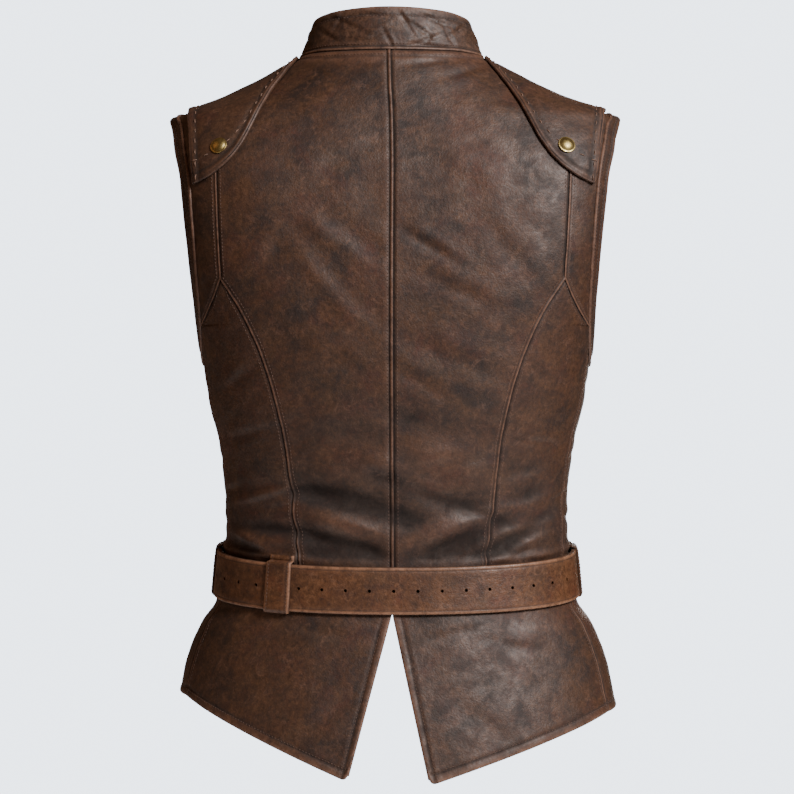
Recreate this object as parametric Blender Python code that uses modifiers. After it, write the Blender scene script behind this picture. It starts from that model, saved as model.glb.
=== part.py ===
"""Lace-up leather vest with a stand collar, shoulder caps, a split skirt and a belt, as it hangs when worn.

Sizes are millimetres, and are scaled to metres as each mesh is made. +Z is up, the wearer faces -Y and
+X is the wearer's left. The origin lies midway between the points where the collar meets the shoulders.
"""

from bisect import bisect
from collections import namedtuple
from math import atan2, cos, degrees, exp, pi, radians, sin

import bmesh
import bpy
from mathutils import Vector

MM = 0.001
LEFT, RIGHT = 1, -1
SIDES = {"left": LEFT, "right": RIGHT}

# Thickness of the leather pieces, and the gaps between them
LEATHER = 2.0
COLLAR_LEATHER = 2.6
CAP_LEATHER = 2.4
BAND_LEATHER = 1.6
BELT_LEATHER = 3.5
LOOP_LEATHER = 2.0
SEAM = 0.45
LAID_ON = 2.1

# The garment's form, as level sections from the neck down: half the width, the reach from the middle
# to the back and to the front, and the power of the back's oval (2 is an ellipse, more is squarer)
Section = namedtuple("Section", "z half_width back front back_power")
SECTIONS = [
    Section(0, 87, 62, 50, 2.0),
    Section(-10, 97.5, 69, 53, 2.0),
    Section(-22, 117, 75.5, 57, 2.0),
    Section(-40, 153.5, 84, 62, 2.05),
    Section(-52, 182, 89, 66, 2.15),
    Section(-60, 208, 92, 69, 2.25),
    Section(-68, 221, 95, 73, 2.4),
    Section(-90, 221, 103.5, 84, 3.0),
    Section(-125, 215.5, 113.5, 102, 3.8),
    Section(-185, 207, 122.5, 122, 3.8),
    Section(-245, 198.5, 126.5, 132, 3.2),
    Section(-295, 192, 126, 135, 2.7),
    Section(-345, 185.5, 122, 133, 2.45),
    Section(-385, 176, 116, 129, 2.35),
    Section(-453, 169.5, 107, 121, 2.25),
    Section(-498, 171, 106, 119, 2.2),
    Section(-521, 175.5, 108, 120.5, 2.2),
    Section(-543, 180, 111, 123, 2.2),
    Section(-563, 194, 116, 128, 2.15),
    Section(-600, 209, 126, 136, 2.1),
    Section(-633, 216, 135, 143, 2.1),
    Section(-700, 231, 151, 156, 2.1),
]
FRONT_POWER = 2.3

# How far the neck sits over to the left at each height, as the wearer stands
NECK_LEAN = [(-700, 0), (-125, 0), (-80, 0.9), (-55, 2), (-40, 3.2), (0, 5)]

# Heights of the rows of points that all body panels share, so that two panels meet along the same line
LEVELS = [
    0, -3, -8, -14, -21, -29, -38, -46, -54, -60, -65, -72, -81, -92, -108, -126, -146, -168, -195, -222,
    -240, -256, -268, -277, -285, -291, -295, -310, -330, -350, -370, -388, -403, -416, -428, -440, -451,
    -462, -473, -484, -495, -506, -518,
]
WAIST_SEAM_Z = LEVELS[-1]
FRONT_LEVELS = [-315, -340, -365, -390, -420, -453, -484, WAIST_SEAM_Z]
SHOULDER_TIP_Z = -65
UNDERARM_Z = -295
SHOULDER_LINE = pi / 2
SIDE_SEAM = radians(78)

# The seams of the back, as (height, distance from the centre back)
ARM_STRIP_SEAM = [(-46, 172), (-126, 170), (-222, 165)]
PRINCESS_SEAM = [(-222, 165), (-256, 143), (-295, 125), (-340, 111), (-388, 101.5), (-456, 94.5), (-518, 87)]
ARM_STRIP_FOOT = [(-222, 165), (-240, 172.5), (-256, 181), (-268, 188)]

# The armhole, seen from the side: how far its back and front edges are from the shoulder line
ArmholeRow = namedtuple("ArmholeRow", "z back front")
ARMHOLE = [
    ArmholeRow(-65, 0, 0),
    ArmholeRow(-67, 12, 6),
    ArmholeRow(-72, 24, 12),
    ArmholeRow(-81, 38, 19),
    ArmholeRow(-92, 50, 27),
    ArmholeRow(-126, 71, 45),
    ArmholeRow(-185, 73, 62),
    ArmholeRow(-240, 58, 63),
    ArmholeRow(-268, 41, 52),
    ArmholeRow(-285, 26, 35),
    ArmholeRow(-292, 13, 19),
    ArmholeRow(-295, 0, 0),
]

# The neckline of the fronts, as (height, angle round the body in degrees), down to the lacing edge
NECKLINE = [(0, 90), (-3, 102), (-14, 121), (-29, 136), (-46, 150), (-60, 161), (-72, 171.7)]
NECK_PIT_Z = NECKLINE[-1][0]
LACING_EDGE = 11

# Soft folds where the leather is drawn in above the belt: place on the back, slope, half length,
# half width and depth. A negative depth is a ridge.
Fold = namedtuple("Fold", "x z slope half_length half_width depth")
FOLDS = [
    Fold(122, -452, -12, 34, 9, 4.0),
    Fold(70, -474, 14, 34, 8, 4.5),
    Fold(24, -489, 20, 24, 7, 3.5),
    Fold(88, -446, 6, 40, 8, -2.5),
    Fold(46, -462, 10, 30, 8, -2.5),
    Fold(-30, -488, -28, 24, 7, 4.5),
    Fold(-70, -466, -24, 28, 8, 4.5),
    Fold(-62, -484, -18, 28, 6, -3.0),
    Fold(-110, -478, -14, 34, 7, 3.5),
    Fold(-90, -420, -10, 38, 9, 4.0),
    Fold(-120, -402, 8, 32, 8, 3.0),
    Fold(-45, -446, -6, 34, 9, 3.0),
    Fold(-70, -434, -8, 40, 9, -2.5),
    Fold(40, -412, 4, 40, 12, 2.0),
]
FOLDS_END_Z = -492
FOLDS_FADE = 8

# The stand collar: its rise over the neckline at the back, side and front, and how it leans in
COLLAR_RISE_BACK, COLLAR_RISE_SIDE, COLLAR_RISE_FRONT = 40.0, 33.0, 34.0
COLLAR_TOP_WIDTH_SHARE, COLLAR_TOP_DEPTH_SHARE = 0.85, 0.87
COLLAR_GAP = 0.5
COLLAR_ROWS = 3
COLLAR_BACK_COLUMNS = 14

# The shoulder caps: how far each line across the shoulder reaches down the back and down the front
CapLine = namedtuple("CapLine", "x back_z front_drop")
CAP = [
    CapLine(94, -10, 7),
    CapLine(99, -17.5, 8),
    CapLine(105, -26.5, 10),
    CapLine(112, -37, 12),
    CapLine(121, -52, 13.5),
    CapLine(130, -70, 14.5),
    CapLine(140, -90, 15),
    CapLine(152, -107, 16),
    CapLine(166, -119.5, 17),
    CapLine(182, -128.5, 17),
    CapLine(199.5, -132.5, 13),
]
CAP_TIP_X = 191
CAP_ROWS_BACK, CAP_ROWS_FRONT = 12, 4
CAP_ROW_SPREAD = 1.6
SNAP_X, SNAP_Z = 165, -97.5
SNAP_RADIUS, SNAP_HEIGHT = 8.5, 4.0

BAND_WIDTH = 16
BAND_SPANS = 48

# The skirt: a slit at the centre back that opens from under the belt, and a slanted hem
Skirt = namedtuple("Skirt", "tail_x tail_z side_z")
SKIRTS = {"left": Skirt(41, -698, -632), "right": Skirt(37, -701, -646)}
SLIT_TOP_Z = -545
SLIT_TOP_X = 0.6
HEM_FRONT_Z = -640
SKIRT_FRONT_X = 30
SKIRT_ROWS = 9

# The belt, its loops and its buckle
BELT_Z, BELT_WIDTH = -521, 45
BELT_TILT = 0.08
BELT_UPRIGHT, BELT_WIDEST = 0.5, 18
BELT_LIFT = 1.5
BELT_OVERLAP_LIFT = 6.1
BELT_TAIL_X = 150
BELT_SPANS = 80
BeltLoop = namedtuple("BeltLoop", "angle width tab_above tab_below")
BELT_LOOPS = {
    "belt_loop_back": BeltLoop(50.3, 26, 8, 4),
    "belt_loop_left": BeltLoop(92, 22, 4, 4),
    "belt_loop_right": BeltLoop(-92, 22, 4, 4),
    "belt_loop_front": BeltLoop(156, 14, 4, 4),
}
BUCKLE_HALF_WIDTH, BUCKLE_HALF_HEIGHT, BUCKLE_CORNER = 20, 28.5, 7
BUCKLE_WIRE = 2.1
PRONG_WIRE = 1.5

# The lacing of the fronts
LACE_RADIUS = 1.5
EYELET_X = 24
EYELET_HEIGHTS = [-462 + 61 * step for step in range(7)]
EYELET_FLANGE, EYELET_BARREL, EYELET_BORE = 5.2, 3.9, 3.1
EYELET_HOLE = 4.4


def smooth_curve(points):
    """A monotone cubic through (position, value) points, straight beyond its ends."""
    points = sorted(points)
    at = [p[0] for p in points]
    value = [p[1] for p in points]
    rise = [(value[i + 1] - value[i]) / (at[i + 1] - at[i]) for i in range(len(at) - 1)]
    inner = [0 if a * b <= 0 else 2 * a * b / (a + b) for a, b in zip(rise, rise[1:])]
    slope = [rise[0], *inner, rise[-1]]

    def evaluate(t):
        if t <= at[0]:
            return value[0] + slope[0] * (t - at[0])
        if t >= at[-1]:
            return value[-1] + slope[-1] * (t - at[-1])
        i = bisect(at, t) - 1
        span = at[i + 1] - at[i]
        s = (t - at[i]) / span
        start = (1 + 2 * s) * (1 - s) ** 2 * value[i] + s * (1 - s) ** 2 * span * slope[i]
        end = s * s * (3 - 2 * s) * value[i + 1] + s * s * (s - 1) * span * slope[i + 1]
        return start + end

    return evaluate


half_width = smooth_curve([(s.z, s.half_width) for s in SECTIONS])
back_reach = smooth_curve([(s.z, s.back) for s in SECTIONS])
front_reach = smooth_curve([(s.z, s.front) for s in SECTIONS])
back_power = smooth_curve([(s.z, s.back_power) for s in SECTIONS])
ridge_height = smooth_curve([(s.half_width, s.z) for s in SECTIONS if s.z > -80])
arm_strip_seam = smooth_curve(ARM_STRIP_SEAM)
princess_seam = smooth_curve(PRINCESS_SEAM)
arm_strip_foot = smooth_curve(ARM_STRIP_FOOT)
armhole_back = smooth_curve([(row.z, row.back) for row in ARMHOLE])
armhole_front = smooth_curve([(row.z, row.front) for row in ARMHOLE])
neckline = smooth_curve(NECKLINE)
neck_lean = smooth_curve(NECK_LEAN)


def fold_depth(x, z):
    """How far the folds of the back sink the leather at a place, faded out behind the belt."""
    total = 0.0
    for fold in FOLDS:
        slope = radians(fold.slope)
        along = (x - fold.x) * cos(slope) + (z - fold.z) * sin(slope)
        across = (z - fold.z) * cos(slope) - (x - fold.x) * sin(slope)
        total += fold.depth * exp(-((along / fold.half_length) ** 2) - (across / fold.half_width) ** 2)
    return total / (1 + exp((FOLDS_END_Z - z) / FOLDS_FADE * 4))


def form_point(z, angle, folds=True):
    """The point of the leather's outer face at a height and an angle: 0 is the centre back, pi the front."""
    n, reach = (back_power(z), back_reach(z)) if cos(angle) > 0 else (FRONT_POWER, front_reach(z))
    r = ((abs(sin(angle)) / half_width(z)) ** n + (abs(cos(angle)) / reach) ** n) ** (-1 / n)
    if folds and cos(angle) > 0:
        r -= fold_depth(r * sin(angle), z)
    return Vector((r * sin(angle) + neck_lean(z), r * cos(angle), z))


def form_normal(z, angle, folds=True):
    """The direction out of the leather at a height and an angle."""
    step_z, step_angle = 1.0, 0.008
    up = form_point(z + step_z, angle, folds) - form_point(z - step_z, angle, folds)
    round_body = form_point(z, angle + step_angle, folds) - form_point(z, angle - step_angle, folds)
    return up.cross(round_body).normalized()


def on_form(z, angle, lift=0.0):
    """A point on the leather, or raised off it."""
    return form_point(z, angle) + form_normal(z, angle) * lift


def on_belt_line(z, angle, lift):
    """A point raised level from the unfolded form, where the belt runs: lowest at the back, and upright."""
    out = form_normal(BELT_Z, angle, folds=False)
    out.z = 0
    height = z + BELT_TILT * (back_reach(BELT_Z) - form_point(BELT_Z, angle, folds=False).y)
    on_belt = abs(z - BELT_Z) < BELT_WIDTH / 2 + 2
    widest = height - z + BELT_Z - BELT_WIDEST
    point = form_point(between(height, widest, BELT_UPRIGHT) if on_belt else height, angle, folds=False)
    point.z = height
    return point + out.normalized() * lift


def back_angle(x, z):
    """The angle at which the back lies x from the middle plane."""
    share = min(1.0, abs(x) / half_width(z)) ** back_power(z)
    return atan2(x, back_reach(z) * (1 - share) ** (1 / back_power(z)))


def front_angle(x, z):
    """The angle at which the front lies x from the middle plane."""
    share = min(1.0, abs(x) / half_width(z)) ** FRONT_POWER
    return atan2(x, -front_reach(z) * (1 - share) ** (1 / FRONT_POWER))


def side_angle(y, z):
    """The angle at which the left side lies y behind the shoulder line."""
    n, reach = (back_power(z), back_reach(z)) if y > 0 else (FRONT_POWER, front_reach(z))
    share = (abs(y) / reach) ** n
    return atan2(half_width(z) * (1 - share) ** (1 / n), y)


def leather(name, colour, roughness):
    """A plain leather finish."""
    material = bpy.data.materials.new(name)
    material.use_nodes = True
    shader = material.node_tree.nodes["Principled BSDF"]
    shader.inputs["Base Color"].default_value = (*colour, 1)
    shader.inputs["Roughness"].default_value = roughness
    return material


def brass(name, colour, roughness):
    """A plain metal finish."""
    material = leather(name, colour, roughness)
    material.node_tree.nodes["Principled BSDF"].inputs["Metallic"].default_value = 1
    return material


def add_object(name, mesh, material, collection):
    """Links a mesh or curve as one named piece, smooth where it is round."""
    piece = bpy.data.objects.new(name, mesh)
    collection.objects.link(piece)
    if material:
        mesh.materials.append(material)
    if isinstance(mesh, bpy.types.Mesh):
        mesh.shade_smooth()
        mesh.set_sharp_from_angle(angle=radians(40))
    return piece


def wall(name, outer, inner, material, closed=False):
    """One solid between two grids of points. A closed one joins its last column to its first."""
    bm = bmesh.new()
    face, lining = ([[bm.verts.new(p * MM) for p in row] for row in grid] for grid in (outer, inner))
    rows, columns = len(outer), len(outer[0])
    spans = columns if closed else columns - 1
    for j in range(spans):
        k = (j + 1) % columns
        for i in range(rows - 1):
            bm.faces.new((face[i][j], face[i][k], face[i + 1][k], face[i + 1][j]))
            bm.faces.new((lining[i][j], lining[i + 1][j], lining[i + 1][k], lining[i][k]))
        for i in (0, rows - 1):
            bm.faces.new((face[i][j], face[i][k], lining[i][k], lining[i][j]))
    if not closed:
        for j in (0, columns - 1):
            for i in range(rows - 1):
                bm.faces.new((face[i][j], face[i + 1][j], lining[i + 1][j], lining[i][j]))
    bmesh.ops.recalc_face_normals(bm, faces=bm.faces)
    mesh = bpy.data.meshes.new(name)
    bm.to_mesh(mesh)
    bm.free()
    return add_object(name, mesh, material, VEST)


def piece_on_form(name, places, thickness, material, lift=0.0, closed=False):
    """A leather piece that follows the form: places is a grid of (height, angle), lift its inner face's height."""
    outer = [[on_form(z, angle, lift + (thickness if lift else 0)) for z, angle in row] for row in places]
    inner = [[on_form(z, angle, lift if lift else -thickness) for z, angle in row] for row in places]
    return wall(name, outer, inner, material, closed)


def between(low, high, share):
    return low + (high - low) * share


def drawn_in(z, angle, distance):
    """The angle after moving a distance round the body."""
    step = 0.01
    speed = (form_point(z, angle + step) - form_point(z, angle)).length / step
    return angle + distance / speed


def panel_places(levels, inner_edge, outer_edge, columns, side):
    """The grid of a body panel between two edges, each given as an angle for a height."""
    rows = []
    last = len(levels) - 1
    for i, z in enumerate(levels):
        start = drawn_in(z, inner_edge(z), SEAM / 2)
        end = drawn_in(z, outer_edge(z), -SEAM / 2)
        height = z - SEAM / 2 if i == 0 else z + SEAM / 2 if i == last else z
        rows.append([(height, side * between(start, end, j / columns)) for j in range(columns + 1)])
    return rows


def levels_between(top, bottom):
    return [z for z in LEVELS if bottom <= z <= top]


def centre_back(z):
    return 0.0


def back_outer_edge(z):
    """The shoulder line, then the strip's seam, then the curved seam down to the waist."""
    if z >= ARM_STRIP_SEAM[0][0]:
        return SHOULDER_LINE
    if z >= PRINCESS_SEAM[0][0]:
        return back_angle(arm_strip_seam(z), z)
    return back_angle(princess_seam(z), z)


def armhole_back_edge(z):
    return side_angle(max(armhole_back(z), 0), z) if z < SHOULDER_TIP_Z else SHOULDER_LINE


def armhole_front_edge(z):
    return side_angle(-max(armhole_front(z), 0), z) if z < SHOULDER_TIP_Z else SHOULDER_LINE


def side_back_outer_edge(z):
    """The foot of the arm strip, then the bottom of the armhole, then the side seam."""
    if z >= ARM_STRIP_FOOT[-1][0]:
        return back_angle(arm_strip_foot(z) - SEAM / 2, z)
    return min(armhole_back_edge(z), SIDE_SEAM)


def front_outer_edge(z):
    """Towards the side: the shoulder line, the armhole's front edge, then the side seam."""
    if z >= SHOULDER_TIP_Z:
        return SHOULDER_LINE
    if z > UNDERARM_Z:
        return armhole_front_edge(z)
    return SIDE_SEAM


def front_inner_edge(z):
    """The neckline, then the lacing edge."""
    return radians(neckline(z)) if z >= NECK_PIT_Z else front_angle(LACING_EDGE, z)


def make_back(name, side, material):
    places = panel_places(LEVELS, centre_back, back_outer_edge, 8, side)
    return piece_on_form(name, places, LEATHER, material)


def make_arm_strip(name, side, material):
    """The narrow piece between the armhole and the long seam of the back."""
    levels = [z for z in levels_between(ARM_STRIP_SEAM[0][0] - 1, ARM_STRIP_FOOT[-1][0])]

    def inner(z):
        x = arm_strip_seam(z) if z >= PRINCESS_SEAM[0][0] else arm_strip_foot(z)
        return back_angle(x, z)

    return piece_on_form(name, panel_places(levels, inner, armhole_back_edge, 3, side), LEATHER, material)


def make_side_back(name, side, material):
    levels = [PRINCESS_SEAM[0][0] - 4, *levels_between(PRINCESS_SEAM[0][0] - 5, WAIST_SEAM_Z)]

    def inner(z):
        return back_angle(princess_seam(z), z)

    return piece_on_form(name, panel_places(levels, inner, side_back_outer_edge, 6, side), LEATHER, material)


def make_front(name, side, material):
    levels = [*[z for z in LEVELS[1:] if z >= UNDERARM_Z], *FRONT_LEVELS]
    places = panel_places(levels, front_outer_edge, front_inner_edge, 8, side)
    return piece_on_form(name, places, LEATHER, material)


def cut_eyelet_holes(front, side):
    """Cuts the round holes of the lacing from one front."""
    bm = bmesh.new()
    for z in EYELET_HEIGHTS:
        angle = side * front_angle(EYELET_X, z)
        out = form_normal(z, angle)
        spot = form_point(z, angle) * MM
        matrix = out.to_track_quat("Z", "Y").to_matrix().to_4x4()
        matrix.translation = spot
        bmesh.ops.create_cone(
            bm, segments=12, radius1=EYELET_HOLE * MM, radius2=EYELET_HOLE * MM, depth=14 * MM,
            cap_ends=True, matrix=matrix,
        )
    mesh = bpy.data.meshes.new(front.name + "_holes")
    bm.to_mesh(mesh)
    bm.free()
    cutter = add_object(front.name + "_holes", mesh, None, CUTTERS)
    cutter.hide_render = True
    cutter.display_type = "WIRE"
    cut = front.modifiers.new("eyelet_holes", "BOOLEAN")
    cut.operation = "DIFFERENCE"
    cut.solver = "EXACT"
    cut.object = cutter


def make_skirt_back(name, side, material):
    """Half of the back skirt, from the slit round to the side seam, with a tail at the slit."""
    shape = SKIRTS[name.split("_")[-1]]
    columns = 9
    side_x = form_point(shape.side_z, SIDE_SEAM).x

    def slit_x(z):
        return between(SLIT_TOP_X, shape.tail_x, max(0.0, (SLIT_TOP_Z - z) / (SLIT_TOP_Z - shape.tail_z)))

    def angle_at(z, j):
        return between(back_angle(slit_x(z), z), drawn_in(z, SIDE_SEAM, -SEAM / 2), j / columns)

    rows = []
    for i in range(SKIRT_ROWS + 1):
        row = []
        for j in range(columns + 1):
            hem = shape.tail_z
            for _ in range(4):
                x = form_point(hem, angle_at(hem, j)).x
                hem = between(shape.tail_z, shape.side_z, (x - shape.tail_x) / (side_x - shape.tail_x))
            z = between(WAIST_SEAM_Z - SEAM / 2, hem, i / SKIRT_ROWS)
            row.append((z, side * angle_at(z, j)))
        rows.append(row)
    return piece_on_form(name, rows, LEATHER, material)


def make_skirt_front(name, side, material):
    """Half of the front skirt, from the side seam to the open front."""
    shape = SKIRTS[name.split("_")[-1]]
    columns = 8
    edge_x = smooth_curve([(WAIST_SEAM_Z, LACING_EDGE), (HEM_FRONT_Z, SKIRT_FRONT_X)])
    rows = []
    for i in range(SKIRT_ROWS):
        row = []
        for j in range(columns + 1):
            hem = between(shape.side_z, HEM_FRONT_Z, j / columns)
            z = between(WAIST_SEAM_Z - SEAM / 2, hem, i / (SKIRT_ROWS - 1))
            start = drawn_in(z, SIDE_SEAM, SEAM / 2)
            row.append((z, side * between(start, front_angle(edge_x(z), z), j / columns)))
        rows.append(row)
    return piece_on_form(name, rows, LEATHER, material)


def neck_ring():
    """The neck edge from the right lacing edge round the back to the left one, as points of the panels."""
    front = [(z, radians(neckline(z))) for z in LEVELS if NECK_PIT_Z <= z < 0]
    back = [(0, between(0, SHOULDER_LINE, j / COLLAR_BACK_COLUMNS)) for j in range(1, COLLAR_BACK_COLUMNS + 1)]
    left = [*back, *front]
    right = [(z, -angle) for z, angle in reversed(left)]
    return [(z, angle) for z, angle in [*right, (0, 0.0), *left]]


def make_collar(material):
    """A stand collar, lofted from the neck edge to a smaller ring above it."""
    rise = smooth_curve([(0, COLLAR_RISE_BACK), (90, COLLAR_RISE_SIDE), (180, COLLAR_RISE_FRONT)])
    columns = []
    for z, angle in neck_ring():
        foot = form_point(z, angle)
        middle = neck_lean(z)
        top_x = between(middle, foot.x, COLLAR_TOP_WIDTH_SHARE)
        top = Vector((top_x, foot.y * COLLAR_TOP_DEPTH_SHARE, z))
        top.z += rise(abs(degrees(angle)))
        up = (top - foot).normalized()
        columns.append([between(foot + up * COLLAR_GAP, top, i / COLLAR_ROWS) for i in range(COLLAR_ROWS + 1)])
    last = len(columns) - 1
    outer = [[column[i] for column in columns] for i in range(COLLAR_ROWS + 1)]
    inner = []
    for i in range(COLLAR_ROWS + 1):
        row = []
        for j, column in enumerate(columns):
            along = columns[min(j + 1, last)][i] - columns[max(j - 1, 0)][i]
            out = along.cross(column[-1] - column[0]).normalized()
            row.append(column[i] - out * COLLAR_LEATHER)
        inner.append(row)
    return wall("collar", outer, inner, material)


def make_cap(name, side, material):
    """A cap over the shoulder: its lines run from front to back over the shoulder line."""
    rows = []
    for k in range(-CAP_ROWS_FRONT, CAP_ROWS_BACK + 1):
        share = k / (CAP_ROWS_BACK if k > 0 else CAP_ROWS_FRONT)
        row = []
        for line in CAP:
            x = line.x
            if line is CAP[-1] and k > 0:
                x = between(line.x, CAP_TIP_X, share)
            top = ridge_height(line.x) - 0.5
            drop = top - line.back_z if k > 0 else line.front_drop
            z = top - drop * abs(share) ** CAP_ROW_SPREAD
            angle = back_angle(x, z) if k > 0 else front_angle(x, z) if k < 0 else SHOULDER_LINE
            row.append((z, side * angle))
        rows.append(row)
    return piece_on_form(name, rows, CAP_LEATHER, material, lift=LAID_ON)


def armhole_loop(side):
    """Points evenly spaced round the armhole's edge, as (height, angle)."""
    fine = 60
    heights = [between(SHOULDER_TIP_Z, UNDERARM_Z, (1 - cos(pi * i / fine)) / 2) for i in range(fine + 1)]
    down = [(z, side_angle(max(armhole_back(z), 0), z)) for z in heights]
    up = [(z, side_angle(-max(armhole_front(z), 0), z)) for z in reversed(heights)][1:-1]
    loop = [(z, side * angle) for z, angle in [*down, *up]]
    points = [form_point(*place) for place in loop]
    travelled = [0.0]
    for a, b in zip(points, [*points[1:], points[0]]):
        travelled.append(travelled[-1] + (b - a).length)
    even = []
    for k in range(BAND_SPANS):
        distance = travelled[-1] * k / BAND_SPANS
        i = bisect(travelled, distance) - 1
        share = (distance - travelled[i]) / (travelled[i + 1] - travelled[i])
        start, end = loop[i], loop[(i + 1) % len(loop)]
        even.append((between(start[0], end[0], share), between(start[1], end[1], share)))
    return even


def settled(point):
    """The place on the form, as (height, angle), under a point close to it."""
    for _ in range(4):
        z, angle = point.z, atan2(point.x - neck_lean(point.z), point.y)
        out = form_normal(z, angle)
        point = point - out * (point - form_point(z, angle)).dot(out)
    return point.z, atan2(point.x - neck_lean(point.z), point.y)


def make_armhole_band(name, side, material):
    """A narrow strip of leather round the edge of the armhole."""
    loop = armhole_loop(side)
    edge = [form_point(*place) for place in loop]
    rows = []
    for width in (0.3, BAND_WIDTH):
        row = []
        for k, (z, angle) in enumerate(loop):
            along = edge[(k + 1) % BAND_SPANS] - edge[k - 1]
            away = form_normal(z, angle).cross(along).normalized() * side
            row.append(settled(edge[k] + away * width))
        rows.append(row)
    return piece_on_form(name, rows, BAND_LEATHER, material, lift=LAID_ON - 0.1, closed=True)


def turned(name, profile, segments, place, material, closed=False):
    """A round piece: a profile of (radius, height), from the top down its outer side, spun on its axis."""
    mesh = bpy.data.meshes.new(name)
    count = len(profile)
    edges = [(i, i + 1) for i in range(count - 1)] + ([(count - 1, 0)] if closed else [])
    mesh.from_pydata([(r * MM, 0, h * MM) for r, h in profile], edges, [])
    piece = add_object(name, mesh, material, VEST)
    spin = piece.modifiers.new("spin", "SCREW")
    spin.steps = spin.render_steps = segments
    spin.use_merge_vertices = True
    spin.merge_threshold = 0.00001
    spin.use_smooth_shade = True
    z, angle, lift = place
    piece.location = on_form(z, angle, lift) * MM
    piece.rotation_euler = form_normal(z, angle).to_track_quat("Z", "Y").to_euler()
    return piece


def make_snap(name, side, material):
    """The domed head of the snap that fastens a shoulder cap."""
    rim = 1.2
    profile = [(0, SNAP_HEIGHT), (SNAP_RADIUS * 0.55, SNAP_HEIGHT * 0.85), (SNAP_RADIUS * 0.88, SNAP_HEIGHT * 0.55),
               (SNAP_RADIUS, rim), (SNAP_RADIUS, 0), (0, 0)]
    place = (SNAP_Z, side * back_angle(SNAP_X, SNAP_Z), LAID_ON + CAP_LEATHER + 0.3)
    return turned(name, profile, 18, place, material)


def make_eyelet(name, z, side, material):
    """A rolled metal eyelet: a flange on the leather and a barrel through it."""
    flange_top, flange_foot = 1.4, 0.4
    foot = -LEATHER - 0.6
    profile = [(EYELET_BORE + 0.7, flange_top), (EYELET_FLANGE, flange_foot), (EYELET_BARREL, flange_foot),
               (EYELET_BARREL, foot), (EYELET_BORE, foot)]
    return turned(name, profile, 10, (z, side * front_angle(EYELET_X, z), 0), material, closed=True)


def tube(name, points, radius, material, closed=False, sides_step=1):
    """A round rod or cord along a line of points."""
    curve = bpy.data.curves.new(name, "CURVE")
    curve.dimensions = "3D"
    curve.bevel_depth = radius * MM
    curve.bevel_resolution = sides_step
    curve.use_fill_caps = not closed
    spline = curve.splines.new("POLY")
    spline.points.add(len(points) - 1)
    for spot, point in zip(spline.points, points):
        spot.co = (*(point * MM), 1)
    spline.use_cyclic_u = closed
    return add_object(name, curve, material, VEST)


def on_front(x, z, lift):
    """A point raised off the front at a distance from the middle plane, also in the open front."""
    return on_form(z, front_angle(x, z), lift)


def lace_pass(start_side, low, high, over):
    """One pass of the lace: out of an eyelet, across the gap, and in behind the eyelet opposite."""
    over_leather, behind = LACE_RADIUS + 2.4, -LEATHER - LACE_RADIUS - 1.7
    crossing = 1.3 if over else -2.9
    route = [(EYELET_X, -3.4), (EYELET_X - 0.2, 2.4), (EYELET_X - 3.4, over_leather + 0.7), (LACING_EDGE, over_leather),
             (0, crossing), (-LACING_EDGE, behind), (-EYELET_X + 3.6, behind)]
    points = []
    for x, lift in route:
        z = between(low, high, (EYELET_X - x) / (2 * EYELET_X))
        points.append(on_front(start_side * x, z, lift))
    return points


def make_lace(material):
    """One lace, from the top eyelet on the left down to the bottom pair and back up the other way."""
    steps = list(zip(EYELET_HEIGHTS, EYELET_HEIGHTS[1:]))
    strands = {}
    for side, over in ((LEFT, True), (RIGHT, False)):
        points = []
        for i, (low, high) in enumerate(steps):
            points += lace_pass(side if i % 2 == 0 else -side, low, high, over)
        last_side = side if len(steps) % 2 == 0 else -side
        points += [on_front(last_side * EYELET_X, EYELET_HEIGHTS[-1], lift) for lift in (-3.4, 1.2)]
        strands[side] = points
    across = [on_front(x, EYELET_HEIGHTS[0], -LEATHER - 3.4) for x in (-EYELET_X + 3.6, 0, EYELET_X - 3.6)]
    return tube("lace", [*reversed(strands[RIGHT]), *across, *strands[LEFT]], LACE_RADIUS, material)


def make_lace_knot(name, side, material):
    """The stopper knot at one end of the lace, on the top eyelet."""
    z = EYELET_HEIGHTS[-1]
    profile = [(0, 6.2), (2.7, 5.4), (4.1, 3.2), (3.3, 1.0), (0, 0.2)]
    return turned(name, profile, 10, (z, side * front_angle(EYELET_X, z), 1.4), material)


def belt_angle(x):
    return front_angle(x, BELT_Z)


def belt_lift(angle):
    """How far the belt's inner face stands off the form: it climbs over its own end at the buckle."""
    climb_from, climb_to = -belt_angle(34), -2 * pi + belt_angle(8)
    share = min(1.0, max(0.0, (climb_from - angle) / (climb_from - climb_to)))
    return between(BELT_LIFT, BELT_OVERLAP_LIFT, share * share * (3 - 2 * share))


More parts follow.
